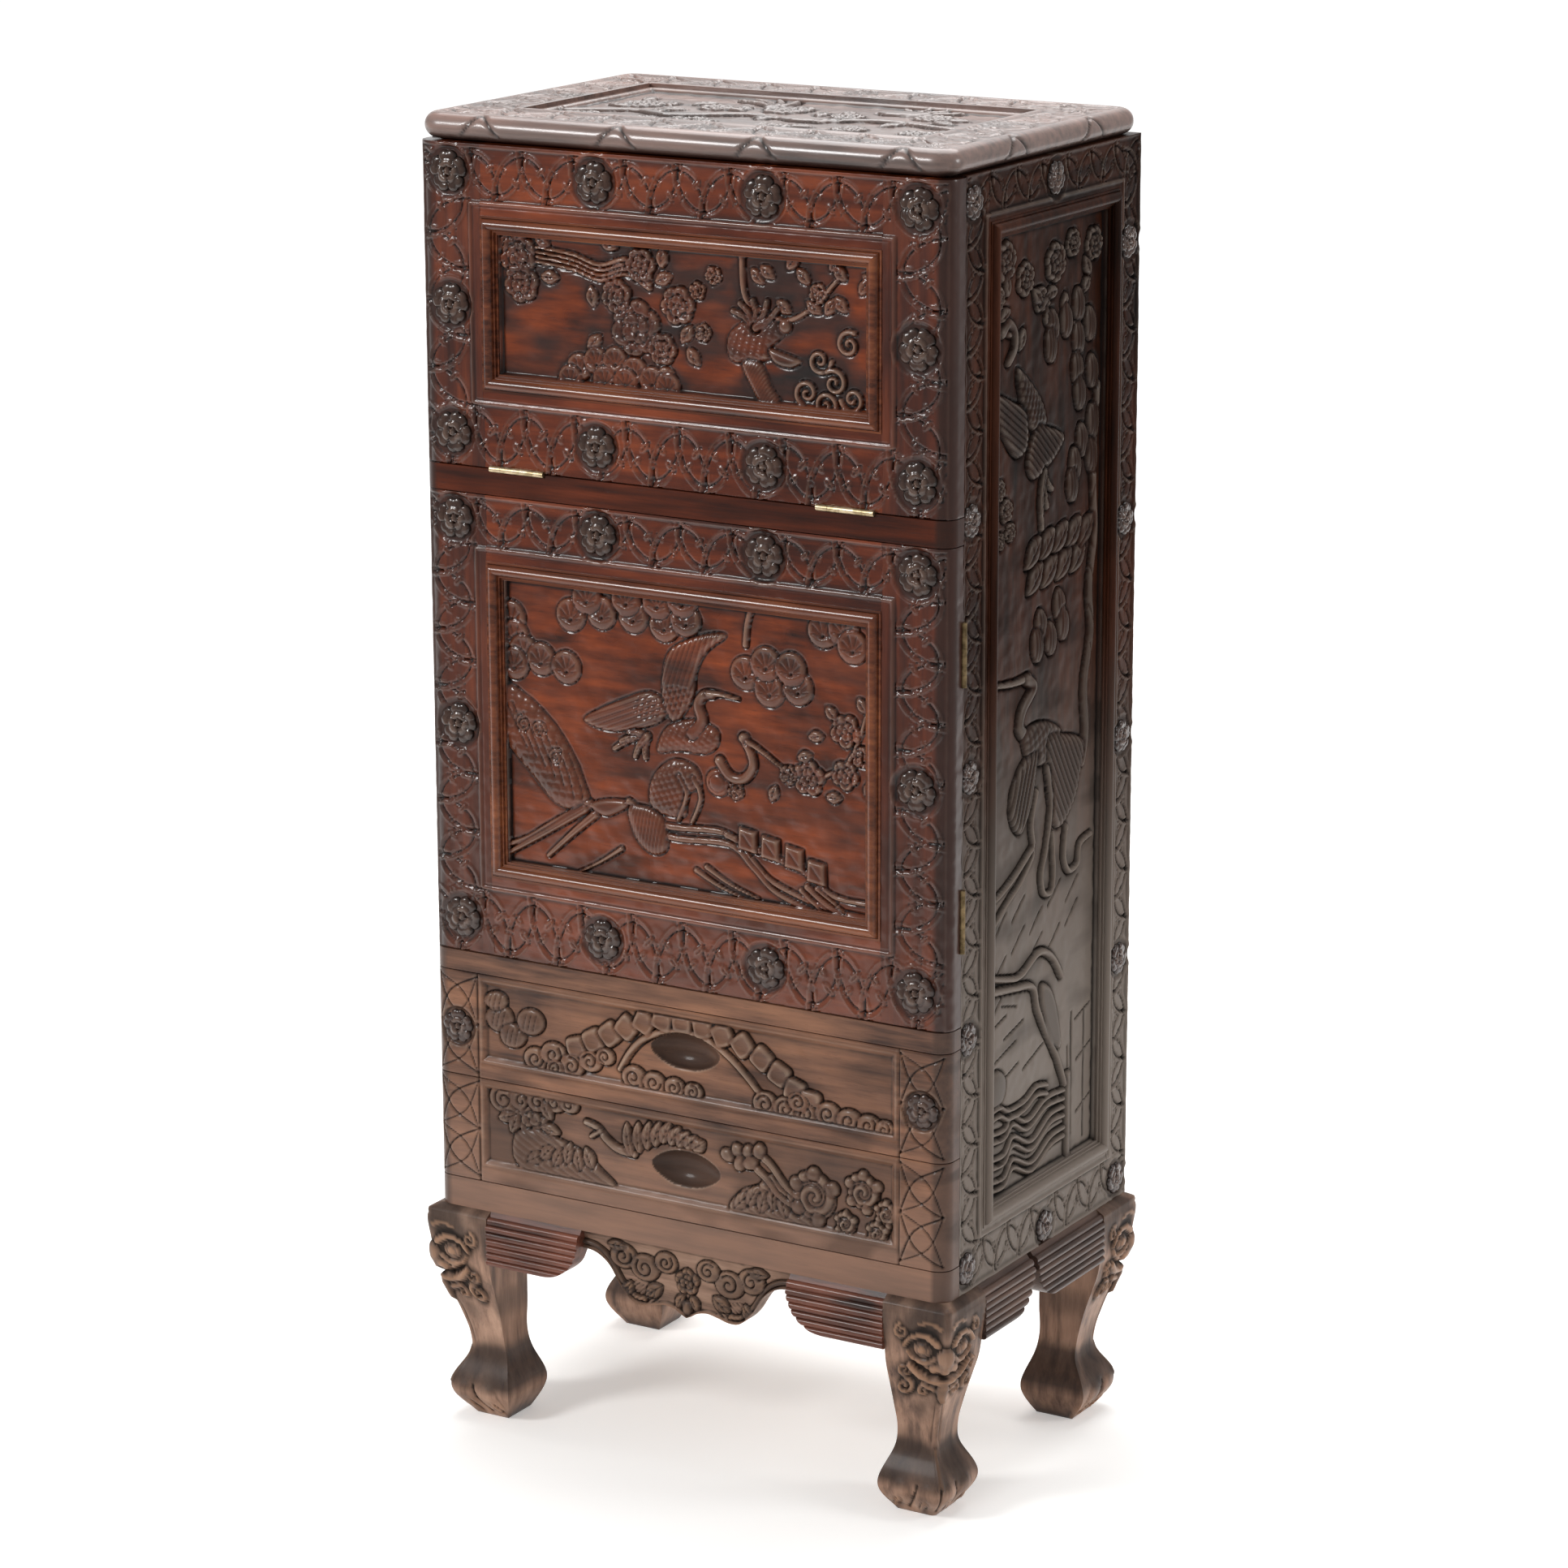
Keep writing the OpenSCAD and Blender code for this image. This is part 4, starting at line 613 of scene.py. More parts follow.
def blossom(c, at, r, petals, high, turn=0.0, patina=1.0):
    # cupped petals in two rings round a knob, the outer ones notched
    for ring, reach, size, lift in ((0, 0.62, 0.46, 0.85), (1, 0.30, 0.32, 1.0)):
        count = petals - ring * 2
        for k in range(count):
            a = turn + (k + 0.5 * ring) * 2 * math.pi / count
            petal = around(at, r * reach, a)
            dome(c, petal, (r * size * 0.85, r * size), high * lift, a, patina, squareness=0.35)
            dish(c, petal, (r * size * 0.5, r * size * 0.62), 1.5, a)
            gouge(c, [around(at, r * (reach + size * share), a) for share in (0.3, 0.9)], (0.6, 1.6), 1.2)
    dome(c, at, r * 0.15, high, 0, patina)


def blossoms(c, places, petals, high, patina=1.0):
    for at, r in places:
        blossom(c, at, r, petals, high, at[0], patina)


def leaves(c, places, length, wide, first, each, high):
    for k, at in enumerate(places):
        leaf(c, at, length, wide, first + each * k, high)


def combed(c, points, high, edge, turn, pitch, deep, patina=1.0):
    area(c, points, high, edge, patina)
    hatch(c, points, turn, pitch, deep)


def scaled(c, points, high, edge, size, deep, turn, patina=1.0):
    area(c, points, high, edge, patina)
    scales(c, points, size, deep, turn)


def needles(c, at, r, high):
    # a pine tuft: a bowl with a thick lower rim, and needles fanned up in it
    dome(c, at, r, high, squareness=0.36)
    dish(c, (at[0], at[1] + r * 0.14), (r * 0.70, r * 0.66), 2.0)
    foot = (at[0], at[1] - r * 0.35)
    for k in range(6):
        a = math.pi * (0.08 + 0.84 * k / 5)
        gouge(c, [foot, around(foot, r * (0.62 + 0.45 * math.sin(a)), a)], (0.7, 1.3), 0.8)


def blur(field, reach, along=1):
    for axis, share in enumerate((1, along)):
        k = max(1, int(round(reach * share)))
        pad = [(0, 0), (0, 0)]
        pad[axis] = (k + 1, k)
        total = np.cumsum(np.pad(field, pad, mode="edge"), axis=axis)
        a = np.take(total, np.arange(2 * k + 1, total.shape[axis]), axis=axis)
        b = np.take(total, np.arange(0, total.shape[axis] - 2 * k - 1), axis=axis)
        field = (a - b) / (2 * k + 1)
    return field


staining = dict(
    hollowFrom=0.12, hollowOver=1.0, crestFrom=0.35, crestOver=1.5,     # mm under and over the surroundings
    # halo: the painted shade and stain on the ground round the figures
    haloMm=6, halo=2.2, streakMm=8, streaks=0.60, seed=9,
)


def softNoise(c, seed, *reach):
    noise = np.random.default_rng(seed).standard_normal(c["u"].shape)
    return blur(blur(noise, *reach), *reach)


def readHollows(c, reachMm=3.2):
    # what lies under its surroundings is darkened with painted shade and dirt,
    # what stands over them is rubbed and given a painted highlight, and round the
    # figures the ground takes painted shade with stain, as well as stain in streaks
    # along the grain
    s = staining
    mean = blur(blur(c["high"], reachMm / c["step"]), reachMm / c["step"])
    c["hollow"] = np.clip((mean - c["high"] - s["hollowFrom"]) / s["hollowOver"], 0, 1)
    c["crest"] = np.clip((c["high"] - mean - s["crestFrom"]) / s["crestOver"], 0, 1)
    if c["stain"]:
        halo = blur(blur(c["patina"], s["haloMm"] / c["step"]), s["haloMm"] / c["step"])
        cloud = softNoise(c, s["seed"], s["streakMm"] / c["step"], 3)
        spread = s["halo"] * halo + s["streaks"] * cloud / cloud.std() + c["stain"] - 0.6
        spread = np.clip(spread, 0, 1) * (1 - c["patina"])
        c["hollow"] = np.maximum(c["hollow"], c["stain"] * spread)
    c["hollow"] = np.maximum(c["hollow"], c["dark"])


def gouged(c, depth, reachMm, seed):
    # the uneven flats that a gouge leaves on a ground
    noise = softNoise(c, seed, reachMm / c["step"])
    noise /= noise.std()
    c["high"] += depth * noise * np.clip(1 - c["patina"], 0, 1)


# Boards from canvases

carried = ("hollow", "crest", "patina")     # by each point of a carved mesh


def fourOf(*corners):
    return np.stack(corners, -1).reshape(-1, 4)


def ringQuads(nv, nu, first):
    # the faces between closed rings of points, numbered from first
    index = first + np.arange(nv * nu).reshape(nv, nu)
    side = np.roll(index, -1, 1)
    return index, fourOf(index[:-1], index[1:], side[1:], side[:-1])


def meshFrom(name, co, faces, values=None):
    mesh = bpy.data.meshes.new(name)
    mesh.vertices.add(len(co))
    mesh.vertices.foreach_set("co", (np.asarray(co, np.float32) * mm).ravel())
    sizes = np.concatenate([np.full(len(f), f.shape[1]) for f in faces])
    corners = np.concatenate([f.ravel() for f in faces])
    mesh.loops.add(len(corners))
    mesh.loops.foreach_set("vertex_index", corners.astype(np.int32))
    mesh.polygons.add(len(sizes))
    mesh.polygons.foreach_set("loop_start", np.concatenate([[0], np.cumsum(sizes)[:-1]]).astype(np.int32))
    mesh.update(calc_edges=True)
    mesh.validate()
    for key, data in (values or {}).items():
        attribute = mesh.attributes.new(key, "FLOAT", "POINT")
        attribute.data.foreach_set("value", np.asarray(data, np.float32).ravel())
    mesh.polygons.foreach_set("use_smooth", np.ones(len(mesh.polygons), bool))
    mesh.set_sharp_from_angle(angle=math.radians(72))
    return putIn(name, mesh)


def finishPiece(obj, material, body, nodes=()):
    obj.data.materials.append(material)
    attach(obj, body)
    if nodes:
        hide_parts(*nodes)


def boardFrom(name, c, place, behind, inward=False):
    # the carved face is the grid, and its rim is joined straight back to a flat back
    readHollows(c)
    nv, nu = c["u"].shape
    face = place(c["u"], c["v"], c["high"]).reshape(-1, 3)
    index = np.arange(nv * nu).reshape(nv, nu)
    quads = fourOf(index[:-1, :-1], index[:-1, 1:], index[1:, 1:], index[1:, :-1])
    rim = np.concatenate([index[0, :-1], index[:-1, -1], index[-1, :0:-1], index[:0:-1, 0]])
    rear = behind(face[rim])
    middle = rear.mean(0, keepdims=True)
    rearIndex = nv * nu + np.arange(len(rim))
    walls = fourOf(rim, rearIndex, np.roll(rearIndex, -1), np.roll(rim, -1))
    cap = np.stack([np.roll(rearIndex, -1), rearIndex, np.full(len(rim), nv * nu + len(rim))], -1)
    if inward:
        quads, walls, cap = quads[:, ::-1], walls[:, ::-1], cap[:, ::-1]
    extra = np.zeros(len(rim) + 1)
    values = {key: np.concatenate([c[key].ravel(), extra]) for key in carried}
    return meshFrom(name, np.vstack([face, rear, middle]), [quads, walls, cap], values)


# The front's skin: across from the middle, round the corner and back along the
# edge. Heights go outwards from it.
lowFront, highFront = cornersOf("lower_drawer_front")
frontSkin = dict(half=highFront[0], round=16.0, face=lowFront[1], back=highFront[1])
skinFlat = frontSkin["half"] - frontSkin["round"]
skinBend = frontSkin["round"] * math.pi / 2
skinEnd = skinFlat + skinBend + (frontSkin["back"] - frontSkin["face"] - frontSkin["round"]) - 0.4


def onFront(lift=0.0):
    def place(u, v, high):
        r = frontSkin["round"]
        far = np.abs(u)
        t = np.clip((far - skinFlat) / r, 0, math.pi / 2)
        x = np.sign(u) * (np.minimum(far, skinFlat) + (r + high) * np.sin(t))
        y = frontSkin["face"] + r - (r + high) * np.cos(t) + np.clip(far - skinFlat - skinBend, 0, None)
        return np.stack([x, y, v + lift], -1)
    return place


def flatFront(face, lift):
    def place(u, v, high):
        return np.stack([u, face - high, v + lift], -1)
    return place


def onSide(face, way):
    def place(u, v, high):
        return np.stack([way * (face + high), u, v], -1)
    return place


def backTo(axis, value):
    def behind(rim):
        rear = rim.copy()
        rear[:, axis] = value
        return rear
    return behind


# Carved borders: two rows of crossing arcs with small leaves in the meshes,
# blossoms in dark wells, and a fillet round the opening.

border = dict(
    ground=1.8,        # depth of the carved ground
    margin=3.0,        # plain edge left outside, but for the lower one
    fillet=12.0,       # from the opening to the fillet
    arcWide=1.1,
    pitch=62.0,        # from arc to arc
    blossomR=21.5,
    well=3.4,          # depth of the dark ring round a blossom
    wrap=0.75,         # share of the rounded corner that is carved
    step=1.5,
    marks=(0.09, 3.0, 11),     # gouge marks: depth, size, seed
    stileDark=0.36,
)
filletWide, filletHigh, filletQuirk = 1.8, 0.8, 3.2
wellSpare, wellSlope = 5.5, 3.5            # round the blossom in a well
lipAt, lipWide, lipHigh = 6.5, 1.8, 0.7    # the well's raised lip
beadWidth = 18.0       # of the planted beads


def softBox(u, v, low, high, soft):
    inside = np.minimum(np.minimum(u - low[0], high[0] - u), np.minimum(v - low[1], high[1] - v))
    return np.clip(inside / soft, 0, 1)


def meshOfArcs(c, low, high, b, long):
    # long is the direction of the strip: 0 across, 1 upright
    short = 1 - long
    count = max(1, int(round((high[long] - low[long]) / b["pitch"])))
    gap = (high[long] - low[long]) / count
    tall = high[short] - low[short]

    def swap(points):
        return [p if long == 0 else (p[1], p[0]) for p in points]

    for k in range(count + 1):
        for edge, way in ((low[short], 1), (high[short], -1)):
            middle = low[long] + gap * (k + (0.5 if way < 0 else 0))
            if middle > high[long] + 1:
                continue
            bow = [(middle + gap * 0.60 * math.cos(a), edge + way * tall * 0.95 * math.sin(a))
                   for a in np.linspace(0, math.pi, 9)]
            stroke(c, swap(bow), b["arcWide"], b["ground"] * 0.55, 0.25)
            inner = [(middle + (x - middle) * 0.88, edge + (z - edge) * 0.90) for x, z in bow]
            gouge(c, swap(inner), 1.3, 1.9)
            for lean, start, reach in ((-0.75, 0.30, 0.24), (0.75, 0.30, 0.24), (0.0, 0.42, 0.28)):
                root = (middle + math.sin(lean) * tall * 0.10, edge + way * tall * start)
                tip = (root[0] + math.sin(lean) * tall * reach, root[1] + way * math.cos(lean) * tall * reach)
                root, tip = swap([root, tip])
                turn = math.atan2(tip[1] - root[1], tip[0] - root[0])
                leaf(c, root, math.dist(root, tip), tall * 0.055, turn, b["ground"] * 1.25, 0.1)


def carvedBorder(c, outer, opening, wells, b):
    u, v = c["u"], c["v"]
    gate = (opening[0] - b["fillet"], opening[1] + b["fillet"])
    carved = np.minimum(softBox(u, v, outer[0], outer[1], 1.5), 1 - softBox(u, v, gate[0], gate[1], 1.0))
    (l, d), (r, t) = outer
    (il, iLow), (ir, it) = gate[0] - 1.5, gate[1] + 1.5
    for low, high, long in (((l, it), (r, t), 0), ((l, d), (r, iLow), 0), ((l, iLow), (il, it), 1),
                            ((ir, iLow), (r, it), 1)):
        meshOfArcs(c, low, high, b, long)
    c["high"] = (c["high"] - b["ground"]) * carved
    c["patina"] *= carved
    (gl, gd), (gr, gt) = gate
    far, _ = farFrom(u, v, np.array([(gl, gd), (gr, gd), (gr, gt), (gl, gt)]), True)
    fillet = filletHigh * np.sqrt(np.clip(1 - (far / filletWide) ** 2, 0, 1))
    c["high"] = np.where(far < filletWide, fillet, c["high"])
    c["high"] -= 0.9 * np.clip(1 - np.abs(far - filletQuirk) / 1.0, 0, 1) * (1 - carved)
    for at in wells:
        gone = np.hypot(u - at[0], v - at[1])
        bowl = np.clip((b["blossomR"] + wellSpare - gone) / wellSlope, 0, 1)
        lip = lipHigh * np.clip(1 - np.abs(gone - b["blossomR"] - lipAt) / lipWide, 0, 1)
        c["high"] = c["high"] * (1 - bowl) - b["well"] * bowl + lip * (1 - bowl)
        c["patina"] = np.maximum(c["patina"] * (1 - bowl), bowl)


def arris(c, sides, soft=1.2, drop=0.2):
    # takes the sharp corner off a board's edges: left, right, bottom, top
    u, v = c["u"], c["v"]
    for on, gone in zip(sides, (u - u.min(), u.max() - u, v - v.min(), v.max() - v)):
        if on:
            c["high"] -= drop * np.clip(1 - gone / soft, 0, 1) ** 2


def frontLeaf(name, opening, wells, b):
    low, high = cornersOf(name + "_left_stile")
    z0, z1 = low[2], high[2]
    side, sill, head = opening
    wrap = skinFlat + frontSkin["round"] * b["wrap"]
    outer = (np.array([-wrap, z0 - b["margin"]]), np.array([wrap, z1 - b["margin"]]))
    gate = (np.array([-side, sill]), np.array([side, head]))
    spans = dict(left_stile=((-skinEnd, -side), (z0, z1)), right_stile=((side, skinEnd), (z0, z1)),
                 top_rail=((-side, side), (head, z1)), bottom_rail=((-side, side), (z0, sill)))
    for part, (u, v) in spans.items():
        upright = part.endswith("stile")
        c = newCanvas(u, v, b["step"], dark=b["stileDark"] * upright)
        carvedBorder(c, outer, gate, wells, b)
        gouged(c, *b["marks"])
        arris(c, (0, 0, 1, 1) if upright else (0, 0, part == "bottom_rail", part == "top_rail"))
        node = name + "_" + part
        obj = boardFrom(node + "_carved", c, onFront(), backTo(1, frontSkin["back"]))
        finishPiece(obj, wood("carvedRosewoodWaxed", "z" if upright else "x"), name, [node])
    for x, z in wells:
        rosettes[name].append(((x, frontSkin["face"] + b["well"] - 0.5, z), (0, -1, 0), b["blossomR"]))


def leafWells(z0, z1, opening):
    outerX = (opening[0] + border["fillet"] + skinFlat) / 2 + 3
    topZ = (z1 + opening[2] + border["fillet"]) / 2
    lowZ = (z0 + opening[1] - border["fillet"]) / 2
    columns = (-outerX, -outerX * 0.36, outerX * 0.36, outerX)
    return [(x, z) for x in columns for z in (topZ, lowZ)] + [(x, (z0 + z1) / 2) for x in (-outerX, outerX)]


rosettes = {body: [] for body in frame["bodies"]}
for leafName in ("flap", "door"):
    low, high = cornersOf(leafName + "_left_stile")
    bead = cornersOf(leafName + "_bead")
    opening = (bead[1][0], bead[0][2], bead[1][2])
    frontLeaf(leafName, opening, leafWells(low[2], high[2], opening), border)
    print(leafName, "frame is carved")


def sunkPanel(c, low, high, depth, soft=1.2):
    # everything drawn so far stands on a ground that is sunk by this depth
    field = softBox(c["u"], c["v"], low, high, soft)
    c["high"] = (c["high"] - depth) * field
    c["patina"] *= field


def moved(points, by):
    return [(x + by[0], z + by[1]) for x, z in points]


# Flap panel: a long-tailed bird among peonies and pine, x from the middle,
# z over the lower edge inside the bead

flapPicture = dict(
    deep=4.6, step=1.3, outline=1.4, stain=0.85, marks=(0.16, 3.5, 5),
    peonies=[((-188, 120), 22), ((-184, 92), 20), ((-52, 58), 28), ((-4, 84), 19), ((-74, 88), 17),
             ((-22, 40), 16), ((-46, 120), 17)],
    buds=[((36, 116), 9), ((24, 60), 9), ((18, 100), 9), ((152, 108), 10)],
    tail=[(-166, 120), (-124, 116), (-92, 108), (-62, 116), (-36, 104)],
    pine=[(-118, 14), (-98, 22), (-76, 24), (-54, 16), (-34, 8), (-16, 4), (-88, 4), (-64, 4), (-128, 2)],
    secondBird=[(52, 42), (54, 62), (76, 78), (102, 80), (116, 68), (100, 52), (98, 40), (64, 34)],
    secondWing=[(98, 51), (116, 48), (134, 42), (122, 34), (104, 38)],
    rock=[(68, 35), (88, 38), (100, 16), (112, -4), (92, -6), (78, 12)],
    branch=[(68, 138), (72, 98), (96, 84), (120, 80), (148, 96), (176, 126)],
    clouds=[(154, 44), (186, 62), (170, 24), (190, 10), (140, 12), (160, 2)],
)


def drawFlap(c, p):
    stroke(c, p["branch"], (3.2, 2.0), 3.2)
    for k, at in enumerate([(118, 128), (143, 116), (139, 100), (165, 130), (183, 122), (200, 130),
                            (197, 110), (92, 112), (106, 98), (160, 88), (184, 92), (88, 130)]):
        leaf(c, at, 20, 6.5, 0.9 + 1.7 * math.sin(k * 2.1), 3.4)
    for start in (0, 3, 6, 9):
        stroke(c, moved(p["tail"], (0, start * 1.6 - 6)), (1.6, 2.8), 3.0 + 0.1 * start)
    hatch(c, [(-170, 128), (-60, 128), (-60, 100), (-170, 106)], 0.1, 3.4, 0.7, smooth=False)
    blossoms(c, p["peonies"], 6, 4.8, 0.45)
    blossoms(c, p["buds"], 5, 4.2)
    leaves(c, [(-162, 100), (-206, 120), (-150, 130), (-92, 48), (-70, 24), (-30, 14), (-22, 118), (-72, 134),
               (12, 66), (6, 44), (-30, 104), (-100, 74)], 22, 7, 0, 1.3, 3.6)
    for at in p["pine"]:
        needles(c, at, 14, 3.6)
    scaled(c, p["secondBird"], 4.4, 10, 9, 0.9, 0.4, 0.15)
    fan(c, (84, 70), [(58, 84), (66, 92), (80, 96), (96, 96), (108, 90)], (4.5, 2.6), 4.5, 0.4)
    area(c, p["secondWing"], 3.8, 6)
    dome(c, (116, 74), 7, 4.6)
    combed(c, p["rock"], 4.2, 8, 1.0, 3.2, 0.9)
    for k, at in enumerate(p["clouds"]):
        curl(c, at, 13, 1.4, 2.6, 3.4, k * 1.1, 1 if k % 2 else -1)


# Door panel: cranes under a pine by the water

doorPicture = dict(
    deep=4.8, step=1.35, outline=1.4, stain=0.45, marks=(0.16, 3.5, 5),
    tufts=[(-132, 263), (-96, 269), (-59, 270), (-23, 265), (2, 273), (-31, 287), (-2, 292), (-113, 283),
           (-67, 286), (-203, 253), (-199, 234), (-189, 220), (-168, 214), (-138, 209), (-200, 206),
           (70, 228), (97, 214), (129, 220), (93, 240), (121, 238), (157, 280), (180, 284), (190, 268)],
    trunk=[(-216, 184), (-185, 174), (-156, 152), (-132, 122), (-114, 82), (-112, 64), (-150, 66), (-180, 92),
           (-216, 132)],
    roots=[[(-112, 72), (-154, 47), (-188, 26), (-214, 16)], [(-106, 62), (-133, 39), (-162, 12)],
           [(-118, 66), (-168, 34), (-214, 6)]],
    bank=[(-66, 81), (-25, 62), (44, 64), (73, 43), (101, 21), (160, 4), (206, 0)],
    secondBank=[(48, 62), (88, 50), (137, 36), (168, 17), (206, 14)],
    stones=[(72, 60), (98, 55), (125, 49), (150, 38)],
    wingUp=[(-12, 168), (-26, 196), (-20, 236), (4, 254), (34, 264), (48, 262), (26, 244), (14, 222),
            (10, 196)],
    wingLeft=[(-118, 158), (-98, 172), (-70, 186), (-40, 196), (-16, 184), (-30, 166), (-58, 156),
              (-90, 150)],
    body=[(-32, 137), (-6, 140), (24, 141), (38, 152), (36, 168), (6, 174), (-22, 162)],
    neck=[(10, 160), (20, 174), (16, 190), (22, 200), (32, 202)],
    tail=[(-82, 133), (-74, 142), (-66, 152), (-46, 128), (-58, 128)],
    lowBody=[(-41, 82), (-38, 110), (-14, 131), (12, 126), (18, 108), (2, 96), (0, 75), (-21, 72)],
    lowTail=[(-66, 76), (-58, 44), (-38, 30), (-21, 40), (-30, 74)],
    lowNeck=[(40, 136), (52, 122), (68, 122), (78, 136), (74, 152), (66, 162)],
    flowers=[((182, 184), 17), ((141, 132), 18), ((182, 140), 15), ((200, 160), 11), ((118, 132), 10)],
)


def drawDoor(c, p):
    for at in p["tufts"]:
        needles(c, at, 17, 3.8)
    stroke(c, [(76, 292), (72, 276), (70, 256)], 3, 3.4)
    stroke(c, [(206, 204), (198, 180), (182, 150), (150, 132)], 2.2, 3.0)
    area(c, p["trunk"], 4.8, 14)
    for k in range(7):
        line = [(-214 + 13 * k, 176 - 9 * k), (-200 + 13 * k, 150 - 10 * k), (-184 + 11 * k, 122 - 9 * k)]
        gouge(c, line, (1.4, 0.6), 1.1)
    scales(c, p["trunk"], 11, 0.6, -0.9)
    for k, at in enumerate([(-170, 142), (-150, 116), (-188, 146)]):
        curl(c, at, 8, 1.5, 1.6, 5.0, k)
    for line in p["roots"]:
        stroke(c, line, (4.5, 2.2), 3.6)
        gouge(c, line, 0.8, 0.8)
    area(c, [(-112, 71), (-91, 80), (-62, 80), (-91, 62)], 3.6, 6)
    for line in (p["bank"], p["secondBank"], moved(p["bank"], (6, -11)),
                 moved(p["secondBank"][2:], (2, -14))):
        stroke(c, line, (3.4, 2.4), 3.2)
        gouge(c, line, 0.7, 0.7)
    for x, z in p["stones"]:
        block = [(x - 11, z - 10), (x + 11, z - 13), (x + 10, z + 10), (x - 10, z + 13)]
        area(c, block, 4.4, 4, smooth=False)
        gouge(c, [(x - 5, z + 6), (x + 5, z - 6)], 1.2, 0.9)
    for line in ([(12, 21), (40, 8), (72, -1)], [(24, 26), (52, 12), (84, 2)],
                 [(-75, 31), (-100, 14), (-125, 0)], [(132, 18), (160, -4)], [(150, 22), (182, 2)]):
        stroke(c, line, (2.6, 0.8), 2.8)
    fan(c, (-44, 150), p["tail"], (4.2, 2.4), 3.8, 0.75)
    combed(c, p["wingLeft"], 4.2, 7, 0.40, 5.0, 1.3, 0.7)
    scales(c, [(-52, 190), (-20, 188), (-14, 176), (-34, 166), (-54, 172)], 8, 1.0, 0.4)
    combed(c, p["wingUp"], 4.5, 7, 1.22, 5.0, 1.3, 0.35)
    scales(c, [(-22, 184), (-20, 204), (8, 204), (4, 180)], 8, 1.0, 1.2)
    scaled(c, p["body"], 4.8, 14, 8, 0.8, 0.3, 0.5)
    stroke(c, p["neck"], (6.5, 4.4), 4.8, 0.6)
    stroke(c, [(28, 203), (44, 203), (62, 201)], (3.0, 1.2), 4.4)
    combed(c, p["lowTail"], 4.2, 9, 1.4, 4.0, 0.9)
    scaled(c, p["lowBody"], 4.6, 12, 8, 0.8, 1.2)
    for line in ([(-6, 116), (2, 98), (-8, 70)], [(10, 116), (18, 96), (8, 70)]):
        stroke(c, line, (2.4, 1.8), 3.6)
    dome(c, (38, 114), 14, 4.4, 0.4, 0.2)
    gouge(c, [around((38, 114), 9, a) for a in np.linspace(0, 6.28, 12)], 1.2, 1.0)
    blossom(c, (58, 108), 9, 5, 4.0, 0.9)
    stroke(c, p["lowNeck"], (5.4, 4.2), 4.6)
    dome(c, (68, 163), (6, 5), 4.8)
    stroke(c, [(72, 160), (92, 150), (118, 134)], (2.6, 1.0), 4.2)
    blossoms(c, p["flowers"], 5, 4.5, 0.35)
    leaves(c, [(160, 116), (204, 122), (206, 204), (158, 176), (104, 120), (160, 206), (128, 150)],
           18, 6, 0, 1.1, 3.4)


def canvasFor(u, v, p):
    return newCanvas(u, v, p["step"], outline=p["outline"], stain=p["stain"])


def panelBoard(name, picture, draw):
    node = name + "_panel"
    low, high = cornersOf(node)
    (x0, _, z0), (x1, _, z1) = cornersOf(name + "_bead")
    zero = z0 + beadWidth
    c = canvasFor((x0, x1), (z0 - zero, z1 - zero), picture)
    draw(c, picture)
    gouged(c, *picture["marks"])
    seen = (x0 + beadWidth - 0.5, -0.5), (x1 - beadWidth + 0.5, z1 - beadWidth - zero + 0.5)
    sunkPanel(c, seen[0], seen[1], picture["deep"])
    obj = boardFrom(node + "_carved", c, flatFront(low[1], zero), backTo(1, high[1]))
    finishPiece(obj, wood("carvedPanelRosewood", "x"), name, [node])
    print(node, "is carved")


panelBoard("flap", flapPicture, drawFlap)
panelBoard("door", doorPicture, drawDoor)

# Sides: five boards each, drawn once for the right and mirrored for the left.
# u runs from front to back, v up.

sideCarving = dict(
    ground=1.6, margin=2.0, fillet=7.0, arcWide=1.1, pitch=50.0, blossomR=17.0, well=2.6, step=1.6,
    marks=(0.10, 3.0, 17),
    frontAt=-148, frontWells=(259, 496, 759, 1010, 1312),      # heights on each stile and rail
    backAt=172, backWells=(257, 495, 730, 955, 1234), railWells=(253, 1316),
)

